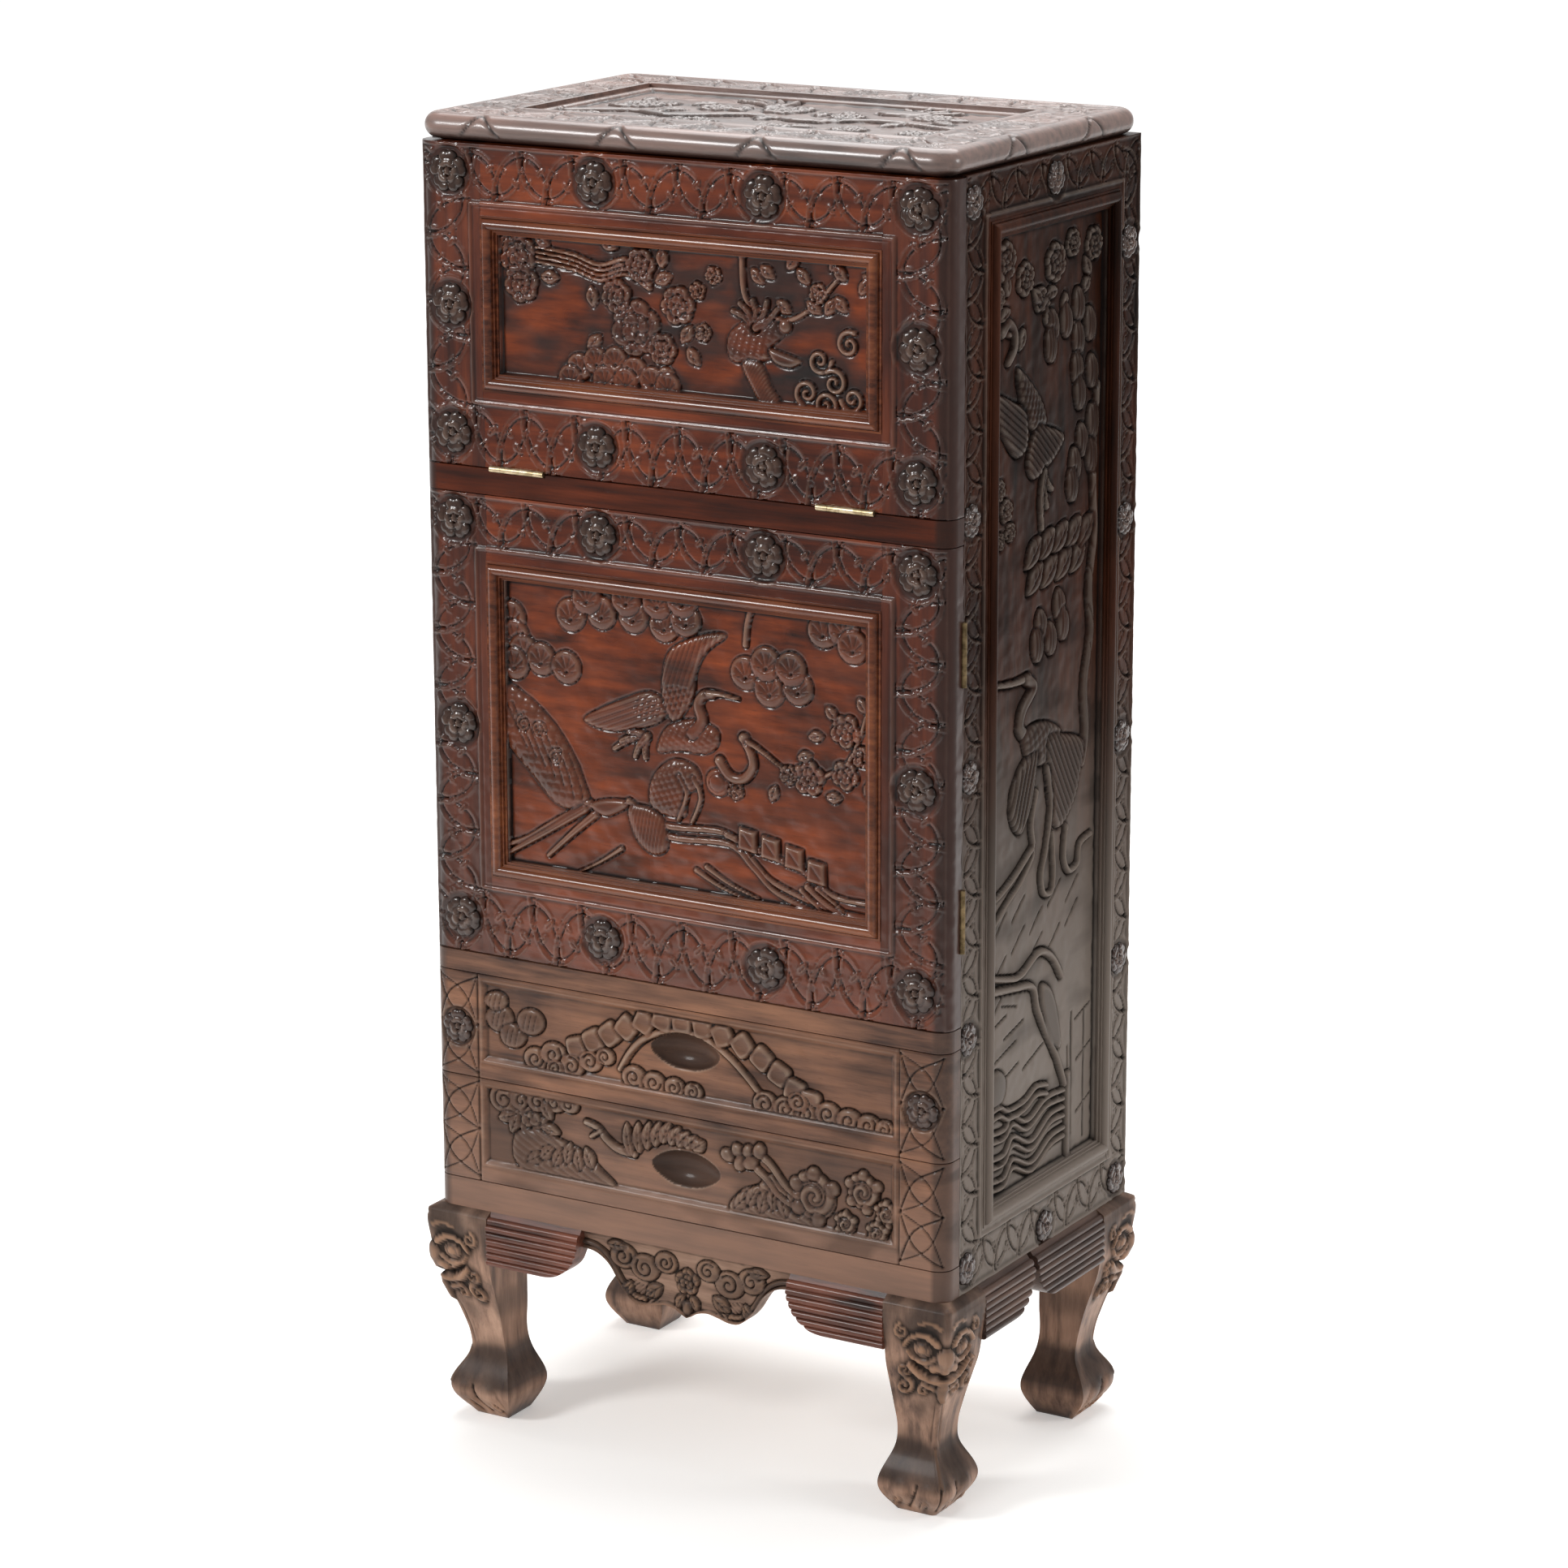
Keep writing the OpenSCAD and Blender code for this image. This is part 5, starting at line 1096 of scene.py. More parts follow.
sidePicture = dict(
    deep=4.6, step=1.65, outline=3.2, stain=0.45, marks=(0.16, 3.5, 23),
    blossoms=[((-72, 936), 20), ((-32, 914), 17), ((30, 922), 20), ((66, 936), 14), ((110, 930), 17),
              ((0, 890), 13), ((-86, 902), 12)],
    tufts=[(80, 874), (54, 862), (104, 852), (80, 840), (26, 860), (22, 842), (78, 811), (110, 804),
           (84, 786), (112, 754), (90, 738), (76, 716), (70, 696), (110, 720), (46, 580), (8, 566),
           (28, 550), (0, 548), (54, 560)],
    fanLeaves=[(-14, 646), (14, 650), (42, 652), (70, 652), (-10, 620), (20, 622), (50, 624), (80, 626),
               (96, 650)],
    trunk=[(120, 790), (114, 700), (118, 640), (108, 590), (112, 540), (100, 490), (104, 440), (96, 410)],
    upperWings=[([(-30, 786), (-58, 800), (-90, 810), (-86, 784), (-70, 762), (-46, 742), (-26, 752)],
                 4.2, 8, 2.6),
                ([(-8, 768), (14, 764), (50, 750), (34, 732), (8, 720), (-14, 716), (-26, 736)],
                 4.4, 8, -0.7)],
    lowerWings=[([(20, 452), (60, 446), (98, 432), (94, 402), (80, 372), (52, 352), (34, 364), (22, 400)],
                 4.4, 10, -1.0),
                ([(0, 442), (-30, 436), (-50, 414), (-54, 386), (-34, 364), (-16, 380), (-4, 410)],
                 4.2, 9, 1.2)],
    bird=[(-47, 830), (-18, 812), (4, 790), (13, 768), (0, 754), (-24, 772), (-40, 796)],
    secondBody=[(-30, 462), (-6, 470), (26, 466), (52, 452), (44, 434), (14, 424), (-18, 436)],
    waves=[[(-99, 70), (-62, 66), (-43, 76), (-12, 62), (27, 74), (66, 72)],
           [(-99, 43), (-62, 40), (-42, 54), (-4, 38), (35, 54), (66, 54)],
           [(-99, 20), (-62, 16), (-42, 30), (-3, 15), (36, 30), (67, 32)],
           [(-99, 90), (-70, 92), (-52, 84), (-20, 84), (6, 92), (30, 88)]],
)


def drawSide(c, p):
    blossoms(c, p["blossoms"], 6, 4.4)
    for k in range(12):
        leaf(c, (-84 + 17 * k, 880 + 22 * math.sin(k * 1.9)), 24, 7, 0.4 + k * 1.3, 3.4)
    stroke(c, p["trunk"], (5, 7), 3.8)
    for k in range(9):
        gouge(c, [(110 + 5 * math.sin(k), 770 - 40 * k), (114 - 5 * math.sin(k), 746 - 40 * k)], 1.4, 1.0)
    for at in p["tufts"]:
        dome(c, at, (12, 18), 4.0, 0.2)
        for k in (-5, 0, 5):
            gouge(c, [(at[0] + k, at[1] - 14), (at[0] + k, at[1] + 14)], 1.0, 0.8)
    stroke(c, [(-78, 868), (-66, 876), (-54, 866), (-54, 850), (-66, 838)], (5.5, 4.0), 4.2)
    scaled(c, p["bird"], 4.6, 10, 9, 0.8, -1.0)
    for wing, high, edge, turn in p["upperWings"]:
        combed(c, wing, high, edge, turn, 6.0, 1.6)
    fan(c, (10, 720), [(26, 700), (16, 684), (6, 664)], (5, 3), 3.8)
    for at, r in (((-80, 716), 11), ((-66, 694), 12), ((-58, 672), 10), ((-78, 666), 9)):
        blossom(c, at, r, 5, 4.0, at[1])
    for at in p["fanLeaves"]:
        leaf(c, (at[0] - 12, at[1] - 18), 42, 12, 0.75, 4.2)
    stroke(c, [(-96, 526), (-52, 520), (-16, 520)], (1.8, 4.4), 4.2)
    stroke(c, [(-22, 518), (-8, 508), (-30, 490), (-36, 474), (-24, 462)], (6, 7), 4.6)
    scaled(c, p["secondBody"], 4.6, 14, 11, 0.9, -0.5, 0.7)
    for wing, high, edge, turn in p["lowerWings"]:
        combed(c, wing, high, edge, turn, 7.0, 1.6)
    for line in ([(22, 420), (30, 380), (22, 340), (12, 312), (18, 292), (34, 290), (38, 312), (34, 350)],
                 [(64, 350), (60, 320), (72, 302), (90, 306), (94, 324), (118, 330)],
                 [(0, 400), (-10, 370), (-6, 340), (-30, 316), (-60, 300), (-92, 280)],
                 [(-8, 344), (-44, 324), (-74, 312), (-96, 306)]):
        stroke(c, line, (3.4, 2.6), 4.0)
    for k in range(11):
        u0, v0 = -84 + 38 * (k % 5), 268 - 34 * (k // 5) + 12 * math.sin(k * 2.3)
        gouge(c, [(u0, v0), (u0 + 26, v0 + 22)], (1.2, 0.6), 1.4)
    stroke(c, [(-96, 232), (-60, 222), (-30, 218), (8, 232), (36, 222), (58, 196)], (3.0, 4.0), 4.2)
    stroke(c, [(-92, 216), (-40, 208), (-4, 200), (6, 176), (24, 148), (50, 112), (68, 78)], (4.0, 3.4), 4.4)
    area(c, [(14, 196), (34, 190), (50, 160), (58, 120), (34, 134), (18, 164)], 3.6, 6)
    for line in ([(-86, 176), (-56, 184)], [(-66, 196), (-34, 188)], [(-60, 160), (-20, 170)],
                 [(-88, 138), (-34, 152)], [(-20, 118), (24, 134)], [(-60, 118), (-30, 128)],
                 [(84, 150), (84, 20)], [(92, 140), (124, 150)], [(96, 96), (126, 108)],
                 [(96, 40), (126, 52)], [(76, 116), (78, 12)], [(112, 146), (112, 10)]):
        gouge(c, line, (1.6, 0.9), 1.8)
    area(c, [(70, 90), (80, 90), (80, -2), (70, -2)], 3.2, 3, smooth=False)
    dome(c, (-78, 112), (22, 20), 3.6)
    for line in p["waves"]:
        for drop in (0, 9):
            stroke(c, moved(line, (0, -drop)), (2.2, 2.6), 3.4)


def faceAndBack(node):
    low, high = cornersOf(node)
    return sorted((abs(low[0]), abs(high[0])), reverse=True)


def carveSide(side, way, b, p, body="case"):
    low, high = cornersOf(side + "_front_stile")
    face, deep = faceAndBack(side + "_front_stile")
    bead = cornersOf(side + "_side_bead")
    y = (low[1], bead[0][1], bead[1][1], cornersOf(side + "_back_stile")[1][1])
    z = (low[2], bead[0][2], bead[1][2], high[2])
    margin = b["margin"]
    outer = (np.array([y[0] + margin, z[0] + margin]), np.array([y[3] - margin, z[3] - margin]))
    gate = (np.array([y[1], z[1]]), np.array([y[2], z[2]]))
    wells = ([(b["frontAt"], v) for v in b["frontWells"]] + [(b["backAt"], v) for v in b["backWells"]]
             + [((y[1] + y[2]) / 2, v) for v in b["railWells"]])
    spans = dict(front_stile=((y[0], y[1]), (z[0], z[3])), back_stile=((y[2], y[3]), (z[0], z[3])),
                 bottom_rail=((y[1], y[2]), (z[0], z[1])), top_rail=((y[1], y[2]), (z[2], z[3])))
    for part, (u, v) in spans.items():
        c = newCanvas(u, v, b["step"])
        carvedBorder(c, outer, gate, wells, b)
        gouged(c, *b["marks"])
        obj = boardFrom(side + "_" + part + "_carved", c, onSide(face, way), backTo(0, way * deep), way < 0)
        nodes = dict(front_stile=[side + "_front_stile"], back_stile=[side + "_back_stile"],
                     bottom_rail=[side + "_side_rails"], top_rail=[])[part]
        upright = part.endswith("stile")
        finishPiece(obj, wood("carvedRosewoodDark", "z" if upright else "y"), body, nodes)
    for u, v in wells:
        rosettes[body].append(((way * (face - b["well"] + 0.5), u, v), (way, 0, 0), b["blossomR"]))
    node = side + "_side_panel"
    face, deep = faceAndBack(node)
    zero = z[1] + beadWidth
    c = canvasFor((y[1], y[2]), (z[1] - zero, z[2] - zero), p)
    drawSide(c, p)
    gouged(c, *p["marks"])
    under = beadWidth - 0.5
    sunkPanel(c, (y[1] + under, -0.5), (y[2] - under, z[2] - zero - under), p["deep"])
    c["v"] = c["v"] + zero
    obj = boardFrom(node + "_carved", c, onSide(face, way), backTo(0, way * deep), way < 0)
    finishPiece(obj, wood("carvedRosewoodDark", "z"), body, [node])
    print(side, "side is carved")


carveSide("right", 1, sideCarving, sidePicture)
carveSide("left", -1, sideCarving, sidePicture)

# Drawer fronts: a sunk field between two carved ends, with a hollow for the
# fingers. x from the middle, z over the front's lower edge.

drawerLook = dict(
    end=57.0,          # width of the carved ends
    well=3.0, blossomR=18.0, step=1.3, outline=2.0, marks=(0.12, 3.5, 31),
    top=6.0, bottom=18.0,
    bevel=6.0, deep=4.2,
    hollowWide=92.0, hollowHigh=41.0, hollowDeep=17.0,
    hollowUp=dict(upper=66.0, lower=54.0),
    # hollowDark: how dark the painted shade in the finger hollow is
    stain=dict(upper=0.30, lower=0.45), hollowDark=0.74,
    greyed=dict(upper=(0.1, 0.1), lower=(0.9, 0.6)),     # patina on the ground, left and right
    greyLeft=(130, 60), greyRight=(60, 70),     # where it starts from the middle, and grows over
    greyShade=0.38,
)

bridgePicture = dict(
    pines=[((-222, 66), (17, 15)), ((-206, 50), (16, 13)), ((-184, 68), (17, 14)), ((-226, 84), (14, 10))],
    stones=[(-128, 50), (-108, 61), (-88, 71), (-68, 81), (-47, 90), (-25, 96), (-2, 98), (22, 96), (45, 91),
            (68, 84), (90, 74), (110, 61), (128, 47), (146, 38)],
    rib=[(-76, 36), (-64, 56), (-48, 72), (-24, 84), (0, 88), (26, 84), (48, 72), (68, 56), (86, 38)],
    scrolls=[((-178, 30), 12), ((-156, 38), 13), ((-134, 30), 12), ((-112, 38), 11), ((-154, 24), 9),
             ((-94, 46), 9), ((-60, 30), 12), ((-36, 28), 11), ((-12, 27), 10), ((10, 26), 9), ((94, 28), 12),
             ((118, 27), 12), ((142, 25), 11), ((166, 29), 12), ((190, 26), 12), ((212, 25), 11),
             ((230, 24), 9), ((132, 36), 10)],
)


def drawBridge(c, p):
    for at, r in p["pines"]:
        dome(c, at, r, 4.4, 0.2)
        for k in (-6, 0, 6):
            gouge(c, [(at[0] + k - 2, at[1] - 8), (at[0] + k + 2, at[1] + 8)], 1.0, 1.0)
    stroke(c, p["rib"], 3.6, 4.0, 0.4)
    gouge(c, moved(p["rib"], (0, -4)), 1.2, 1.4)
    for at in p["stones"]:
        block = [around(at, (14.5, 12.0)[k % 2], at[0] * 0.01 + math.pi / 4 * (k + 1)) for k in range(8)]
        area(c, block, 4.8, 4, 0.6)
        dish(c, (at[0], at[1] - 1), (8.5, 8), 1.3)
    for k, (at, r) in enumerate(p["scrolls"]):
        cloud(c, at, r, 4.6, 0.9 * k, -1, 0.35)


birdPicture = dict(
    cloud=[((-218, 92), 13), ((-196, 94), 10), ((-176, 96), 10), ((-156, 98), 9), ((-138, 99), 8)],
    rocks=[[(-206, 56), (-180, 66), (-150, 60), (-124, 52), (-100, 36), (-84, 20), (-130, 20), (-200, 22)],
           [(52, 22), (66, 44), (84, 52), (98, 66), (120, 56), (140, 48), (156, 30), (152, 20), (96, 19)]],
    stems=[[(76, 74), (96, 60), (110, 46), (130, 36)], [(84, 86), (100, 76), (116, 58), (134, 46)]],
    scrolls=[((150, 52), 24, 1.5), ((206, 66), 18, 1.4), ((232, 48), 12, 1.3), ((186, 30), 11, 1.2),
             ((222, 26), 11, 1.2)],
)


def drawBird(c, p):
    blossom(c, (-186, 80), 24, 6, 4.8, 0.3)
    for at, r in p["cloud"]:
        cloud(c, at, r * 1.15, 4.3, at[0], 1, 0.8)
    leaves(c, [(-226, 70), (-210, 56), (-160, 78), (-150, 66), (-168, 56)], 24, 7, 0.3, 0.9, 4.0)
    for outline in p["rocks"]:
        combed(c, outline, 4.2, 8, -0.5, 7.0, 1.0)
    for k in range(6):
        leaf(c, (58 + 15 * k, 24 + 5 * (k % 2)), 26, 8, 0.8 + 0.25 * k, 4.6)
        leaf(c, (-190 + 16 * k, 30 + 5 * (k % 2)), 24, 7, 0.5 + 0.3 * k, 4.4)
    stroke(c, [(-118, 84), (-104, 80), (-94, 70), (-80, 62), (-62, 60)], (3.0, 5.0), 4.4, 0.3)
    stroke(c, [(-112, 70), (-100, 78)], 2.2, 4.2, 0.3)
    for k in range(9):
        root = (-64 + 9.0 * k, 56 + 5.0 * min(k, 4))
        leaf(c, root, 36 - 2.2 * k, 7.5, 1.75 - 0.14 * k, 4.6, 0.1)
    for line in p["stems"]:
        stroke(c, line, (4.0, 3.0), 4.4)
        gouge(c, line, 0.8, 0.9)
    for at in ((50, 78), (62, 84), (74, 84), (86, 88), (64, 72), (76, 74)):
        dome(c, at, (9, 7), 4.6, at[0])
    for at, r, turns in p["scrolls"]:
        dome(c, at, r, 3.4, 0, 0.8, squareness=0.2)
        curl(c, at, r * 0.94, turns, r * 0.22, 5.0, 2.2, -1, 0.9)
        for k in range(5):
            dome(c, around(at, r * 0.98, 0.5 + 1.1 * k), r * 0.32, 4.2, 0, 0.9)


def drawerEnd(c, x, which, height, v):
    # both: arcs crossing over and under the middle; upper: a well for a blossom too
    way = 1 if x > 0 else -1
    a, b = x - way * 4, x - way * (v["end"] - 5)
    for z0, z1 in ((4, height / 2), (height / 2, height - 4)):
        for p, q in (((a, z0), (b, z1)), ((b, z0), (a, z1))):
            for bow, wide, deep in ((0.16, 1.6, 1.8), (-0.16, 1.3, 1.4)):
                bend = ((p[0] + q[0]) / 2 + (p[1] - q[1]) * bow, (p[1] + q[1]) / 2 + (q[0] - p[0]) * bow)
                gouge(c, [p, bend, q], wide, deep)
    gouge(c, [(b - way, 0), (b - way, height)], 1.6, 1.6)
    if which == "upper":
        middle, up = (a + b) / 2, height * 0.46
        bowl = np.clip((22 - np.hypot(c["u"] - middle, c["v"] - up)) / 2.5, 0, 1)
        c["high"] = c["high"] * (1 - bowl) - v["well"] * bowl
        c["patina"] = np.maximum(c["patina"], bowl)
        return middle, up


def carveDrawer(which, picture, draw, v):
    node = which + "_drawer_front"
    low, high = cornersOf(node)
    z0, height = low[2], high[2] - low[2]
    c = newCanvas((-skinEnd, skinEnd), (0, height), v["step"], outline=v["outline"], stain=v["stain"][which])
    inside = frontSkin["half"] - v["end"]
    draw(c, picture)
    gouged(c, *v["marks"])
    u, up = c["u"], c["v"]
    away = np.minimum.reduce([u + inside, inside - u, up - v["bottom"], height - v["top"] - up])
    field = np.clip(away / v["bevel"], 0, 1)
    shown = np.clip((away - v["bevel"] * 0.5) / 2, 0, 1)
    c["high"] = c["high"] * shown - v["deep"] * field
    c["high"] -= 0.8 * np.clip(1 - np.abs(away + 2.2) / 1.0, 0, 1)
    left, right = v["greyed"][which]
    (leftAt, leftOver), (rightAt, rightOver) = v["greyLeft"], v["greyRight"]
    grey = left * np.clip((-leftAt - u) / leftOver, 0, 1) + right * np.clip((u - rightAt) / rightOver, 0, 1)
    c["patina"] = np.maximum(c["patina"], grey) * shown
    shade = v["greyShade"] * grey * shown
    for x in (-frontSkin["half"], frontSkin["half"]):
        well = drawerEnd(c, x, which, height, v)
        if well:
            at = (well[0], frontSkin["face"] + v["well"] - 0.5, z0 + well[1])
            rosettes[which + "_drawer"].append((at, (0, -1, 0), v["blossomR"]))
    half, tall, deep = v["hollowWide"] / 2, v["hollowHigh"] / 2, v["hollowDeep"]
    across = (tall ** 2 + deep ** 2) / (2 * deep)
    bow = (half ** 2 + deep ** 2) / (2 * deep)
    lens = across - bow + np.sqrt(np.clip(bow ** 2 - u ** 2, 0, None))
    rise = up - v["hollowUp"][which]
    cut = deep - across + np.sqrt(np.clip(lens ** 2 - rise ** 2, 0, None))
    cut = np.where((lens > np.abs(rise)) & (lens > 0), cut, -99)
    hollow = cut > -c["high"]
    c["high"] = np.where(hollow, -cut, c["high"])
    c["patina"] = np.where(hollow, 0.35, c["patina"])
    # painted shade in the finger hollow, deeper towards its left, carried in the hollow channel
    c["dark"] = np.where(hollow, v["hollowDark"] - 0.12 * u / half, shade)
    arris(c, (0, 0, 1, 1))
    obj = boardFrom(node + "_carved", c, onFront(z0), backTo(1, frontSkin["back"]))
    finishPiece(obj, wood("rubbedRosewood", "x"), which + "_drawer", [node])
    print(node, "is carved")


carveDrawer("upper", bridgePicture, drawBridge, drawerLook)
carveDrawer("lower", birdPicture, drawBird, drawerLook)

# The top: a mitred frame whose edge is a half round, with a sunk panel

topLook = dict(
    frameWide=76.0, nose=13.0, corner=22.0, step=2.6,
    deep=1.6, notchEvery=157.0, notchWide=2.8, notchDeep=2.0,
    across=26,         # points across the flat
    plain=14.0,        # left plain outside the carving
    blossoms=[((-240, 0), 18), ((240, 0), 18), ((0, -150), 18), ((0, 158), 18), ((-130, -150), 16),
              ((130, -150), 16)],
)


def topRing(v):
    low, high = cornersOf("top_frame")
    halfX, halfY = high[0], high[1]
    z0, z1 = low[2], high[2]
    inX, inY = halfX - v["frameWide"], halfY - v["frameWide"]
    flat, rc = v["corner"], v["corner"] - v["nose"]
    outer, normal, inner = [], [], []
    corners = ((1, -1), (1, 1), (-1, 1), (-1, -1))
    for k, (sx, sy) in enumerate(corners):
        # one side of the frame ends at this corner; the next starts after its arc
        px, py = corners[k - 1]
        a = np.array([px * (halfX - flat), py * (halfY - flat)])
        b = np.array([sx * (halfX - flat), sy * (halfY - flat)])
        ia, ib = np.array([px * inX, py * inY]), np.array([sx * inX, sy * inY])
        n = np.array([px + sx, py + sy]) / 2
        count = int(np.linalg.norm(b - a) / v["step"])
        for t in np.arange(1, count + 1) / count:
            outer.append(a + (b - a) * t + n * rc)
            normal.append(n)
            inner.append(ia + (ib - ia) * t)
        start = math.atan2(n[1], n[0])
        for j in range(1, 9):
            turn = start + j * math.pi / 16
            d = np.array([math.cos(turn), math.sin(turn)])
            outer.append(b + d * rc)
            normal.append(d)
            inner.append(ib)
    outer, normal, inner = map(np.array, (outer, normal, inner))
    t = np.linspace(0, 1, v["across"])[:, None]
    flatTop = inner[None] * (1 - t[..., None]) + outer[None] * t[..., None]
    c = canvasOn(flatTop[..., 0], flatTop[..., 1], 2.5)
    b = dict(border, ground=v["deep"], arcWide=1.8, pitch=58.0)
    edgeX, edgeY = halfX - v["plain"], halfY - v["plain"]
    for lowAt, highAt, long in (((-edgeX, -edgeY), (edgeX, -inY - 6), 0),
                                ((-edgeX, inY + 6), (edgeX, edgeY), 0),
                                ((-edgeX, -inY), (-inX - 6, inY), 1), ((inX + 6, -inY), (edgeX, inY), 1)):
        meshOfArcs(c, lowAt, highAt, b, long)
    blossoms(c, v["blossoms"], 6, 2.2)
    field = np.clip(t * 30 - 2.5, 0, 1) * np.clip((1 - t) * 30 - 1.0, 0, 1)
    c["high"] = (c["high"] - v["deep"]) * field
    mitre = np.abs((halfX - np.abs(c["u"])) - (halfY - np.abs(c["v"]))) / 1.4
    c["high"] -= 0.7 * np.clip(1 - mitre, 0, 1)
    readHollows(c)
    rings = [np.column_stack([row, z1 + rise]) for row, rise in zip(flatTop, c["high"])]
    values = {key: list(c[key]) for key in carried}
    run = np.concatenate([[0], np.cumsum(np.linalg.norm(np.diff(outer, axis=0), axis=1))])
    ds = np.abs((run + 30) % v["notchEvery"] - v["notchEvery"] / 2)
    for j in range(1, 17):
        turn = j * math.pi / 16
        s = turn * v["nose"]
        legs = np.clip(1.2 - np.abs(ds - (s - 3) * 0.85) / v["notchWide"], 0, 1) * (3 < s < 29)
        r = v["nose"] - v["notchDeep"] * legs
        out = normal * (r * math.sin(turn))[:, None]
        rings.append(np.column_stack([outer + out, z1 - v["nose"] + r * math.cos(turn)]))
        # painted shade under the nose and in its notches (hollow), painted highlight along its upper half
        # (crest)
        under = 0.75 * float(np.clip((turn - 1.75) / 0.7, 0, 1))
        noseHighlight = 0.45 * math.sin(turn) * (turn < 1.9)
        for key, value in zip(carried, (np.maximum(legs, under), noseHighlight * (1 - legs), 0 * legs)):
            values[key].append(value)
    for z in (z0, (z0 + z1) / 2):
        rings.append(np.column_stack([inner, np.full(len(inner), z)]))
        for key in values:
            values[key].append(np.zeros(len(inner)))
    co = np.stack(rings)
    index = np.arange(co.shape[0] * co.shape[1]).reshape(co.shape[:2])
    up = np.roll(index, -1, 0)
    quads = fourOf(index, up, np.roll(up, -1, 1), np.roll(index, -1, 1))
    values = {key: np.concatenate(rows) for key, rows in values.items()}
    obj = meshFrom("top_frame_carved", co.reshape(-1, 3), [quads], values)
    finishPiece(obj, wood("hazedRosewoodTop", "x"), "case", ["top_frame"])


topPicture = dict(
    deep=4.4, step=1.7, outline=3.0, stain=0.45, marks=(0.2, 4.0, 41),
    branch=[(-210, -60), (-150, -30), (-96, -44), (-30, -6), (40, -20), (110, 12), (200, -10)],
    blossoms=[((-170, 20), 22), ((-90, 30), 18), ((-20, 44), 22), ((60, 30), 18), ((140, 60), 20),
              ((190, -50), 18), ((-190, -80), 18), ((30, -70), 20), ((110, -50), 16),
              ((-110, -80), 16), ((-60, -60), 14)],
)


def drawTop(c, p):
    stroke(c, p["branch"], (6, 4), 3.2)
    for k in range(26):
        at = (-200 + 16 * k, 62 * math.sin(k * 2.4))
        leaf(c, at, 30, 8, k * 1.7, 3.0)
    fan(c, (-40, 60), [(-96, 84), (-84, 98), (-62, 104), (-40, 104)], (6, 3), 3.4)
    fan(c, (100, 80), [(150, 100), (128, 106), (108, 108), (86, 102)], (6, 3), 3.4)
    area(c, [(-50, 56), (-20, 70), (4, 66), (-8, 50), (-36, 44)], 3.4, 10)
    area(c, [(70, 74), (100, 90), (126, 82), (112, 66), (84, 62)], 3.4, 10)
    blossoms(c, p["blossoms"], 6, 3.6)


def carveTopPanel(p, frameWide):
    low, high = cornersOf("top_panel")
    inX, inY, _ = cornersOf("top_frame")[1] - frameWide
    c = canvasFor((-inX, inX), (-inY, inY), p)
    drawTop(c, p)
    gouged(c, *p["marks"])
    sunkPanel(c, (-inX + 7, -inY + 7), (inX - 7, inY - 7), p["deep"], 3.0)

    def place(u, v, height):
        return np.stack([u, v, high[2] + height], -1)
    obj = boardFrom("top_panel_carved", c, place, backTo(2, low[2]))
    finishPiece(obj, wood("hazedRosewoodTop", "x"), "case", ["top_panel"])


topRing(topLook)
carveTopPanel(topPicture, topLook["frameWide"])
print("top is carved")

# Legs: square in section, sawn to one outline on two faces, with a mask on
# the knee and a paw below. s is the distance in from the case's face.

legLook = dict(
    tall=236, levelMm=2.6, aroundMm=2.0, arris=5.0,
    reach=11.0,        # how far the carving may stand out from the case's face
    pawWide=66.0, widest=80,
    rubbedAbove=(178, 36),      # height, and grows over
    rubbedAnkle=(56, 27, 12),   # height, reach to each side, and fades over
    outer=[(236, 0), (231, -9), (222, -11), (206, -9), (188, -6.6), (164, -3), (144, 4), (121, 12),
           (94, 19.5), (74, 22), (66, 21), (55, 14), (44, 7), (34, 4), (27, 4.5), (16, 11), (7, 19), (0, 24)],
    inner=[(236, 65), (180, 65), (150, 65), (115, 65), (95, 64), (80, 65), (66, 68), (54, 73), (44, 77),
           (34, 79.5), (27, 79), (16, 75), (7, 70), (0, 66)],
)


def drawMask(c):
    dome(c, (0, 178), (13, 15), 5.5)
    for way in (-1, 1):
        dome(c, (way * 11, 170), (8, 7), 4.6)
        gouge(c, [(way * 7, 166), (way * 11, 163)], 2.2, 2.6)
        dome(c, (way * 27, 188), (10, 8), 5.0, way * 0.3)
        gouge(c, [around((way * 27, 188), 5.5, a) for a in np.linspace(0, 6.3, 9)], 1.2, 1.5)
        stroke(c, [(way * 10, 196), (way * 24, 203), (way * 40, 200), (way * 48, 190)], (4.2, 2.2), 5.0)
        stroke(c, [(way * 12, 180), (way * 22, 174), (way * 36, 176), (way * 44, 184)], (3.0, 1.6), 3.4)
        curl(c, (way * 42, 142), 10, 1.4, 3.0, 4.4, 1.6, way)
        curl(c, (way * 46, 162), 8, 1.3, 2.4, 3.8, 0.6, way)
        curl(c, (way * 52, 204), 8, 1.3, 2.4, 3.6, 2.0, -way)
        curl(c, (way * 20, 140), 7, 1.2, 2.2, 3.6, 1.0, -way)
        stroke(c, [(way * 8, 214), (way * 20, 218), (way * 34, 214)], (3, 1.6), 3.2)
    stroke(c, [(-40, 168), (-24, 156), (0, 152), (24, 156), (40, 168)], 3.6, 4.4)
    gouge(c, [(-36, 172), (-20, 163), (0, 160), (20, 163), (36, 172)], 3.4, 4.0)
    stroke(c, [(-22, 148), (0, 143), (22, 148)], 3.2, 4.0)
    stroke(c, [(0, 146), (0, 136), (2, 128)], (6.0, 2.0), 4.6)


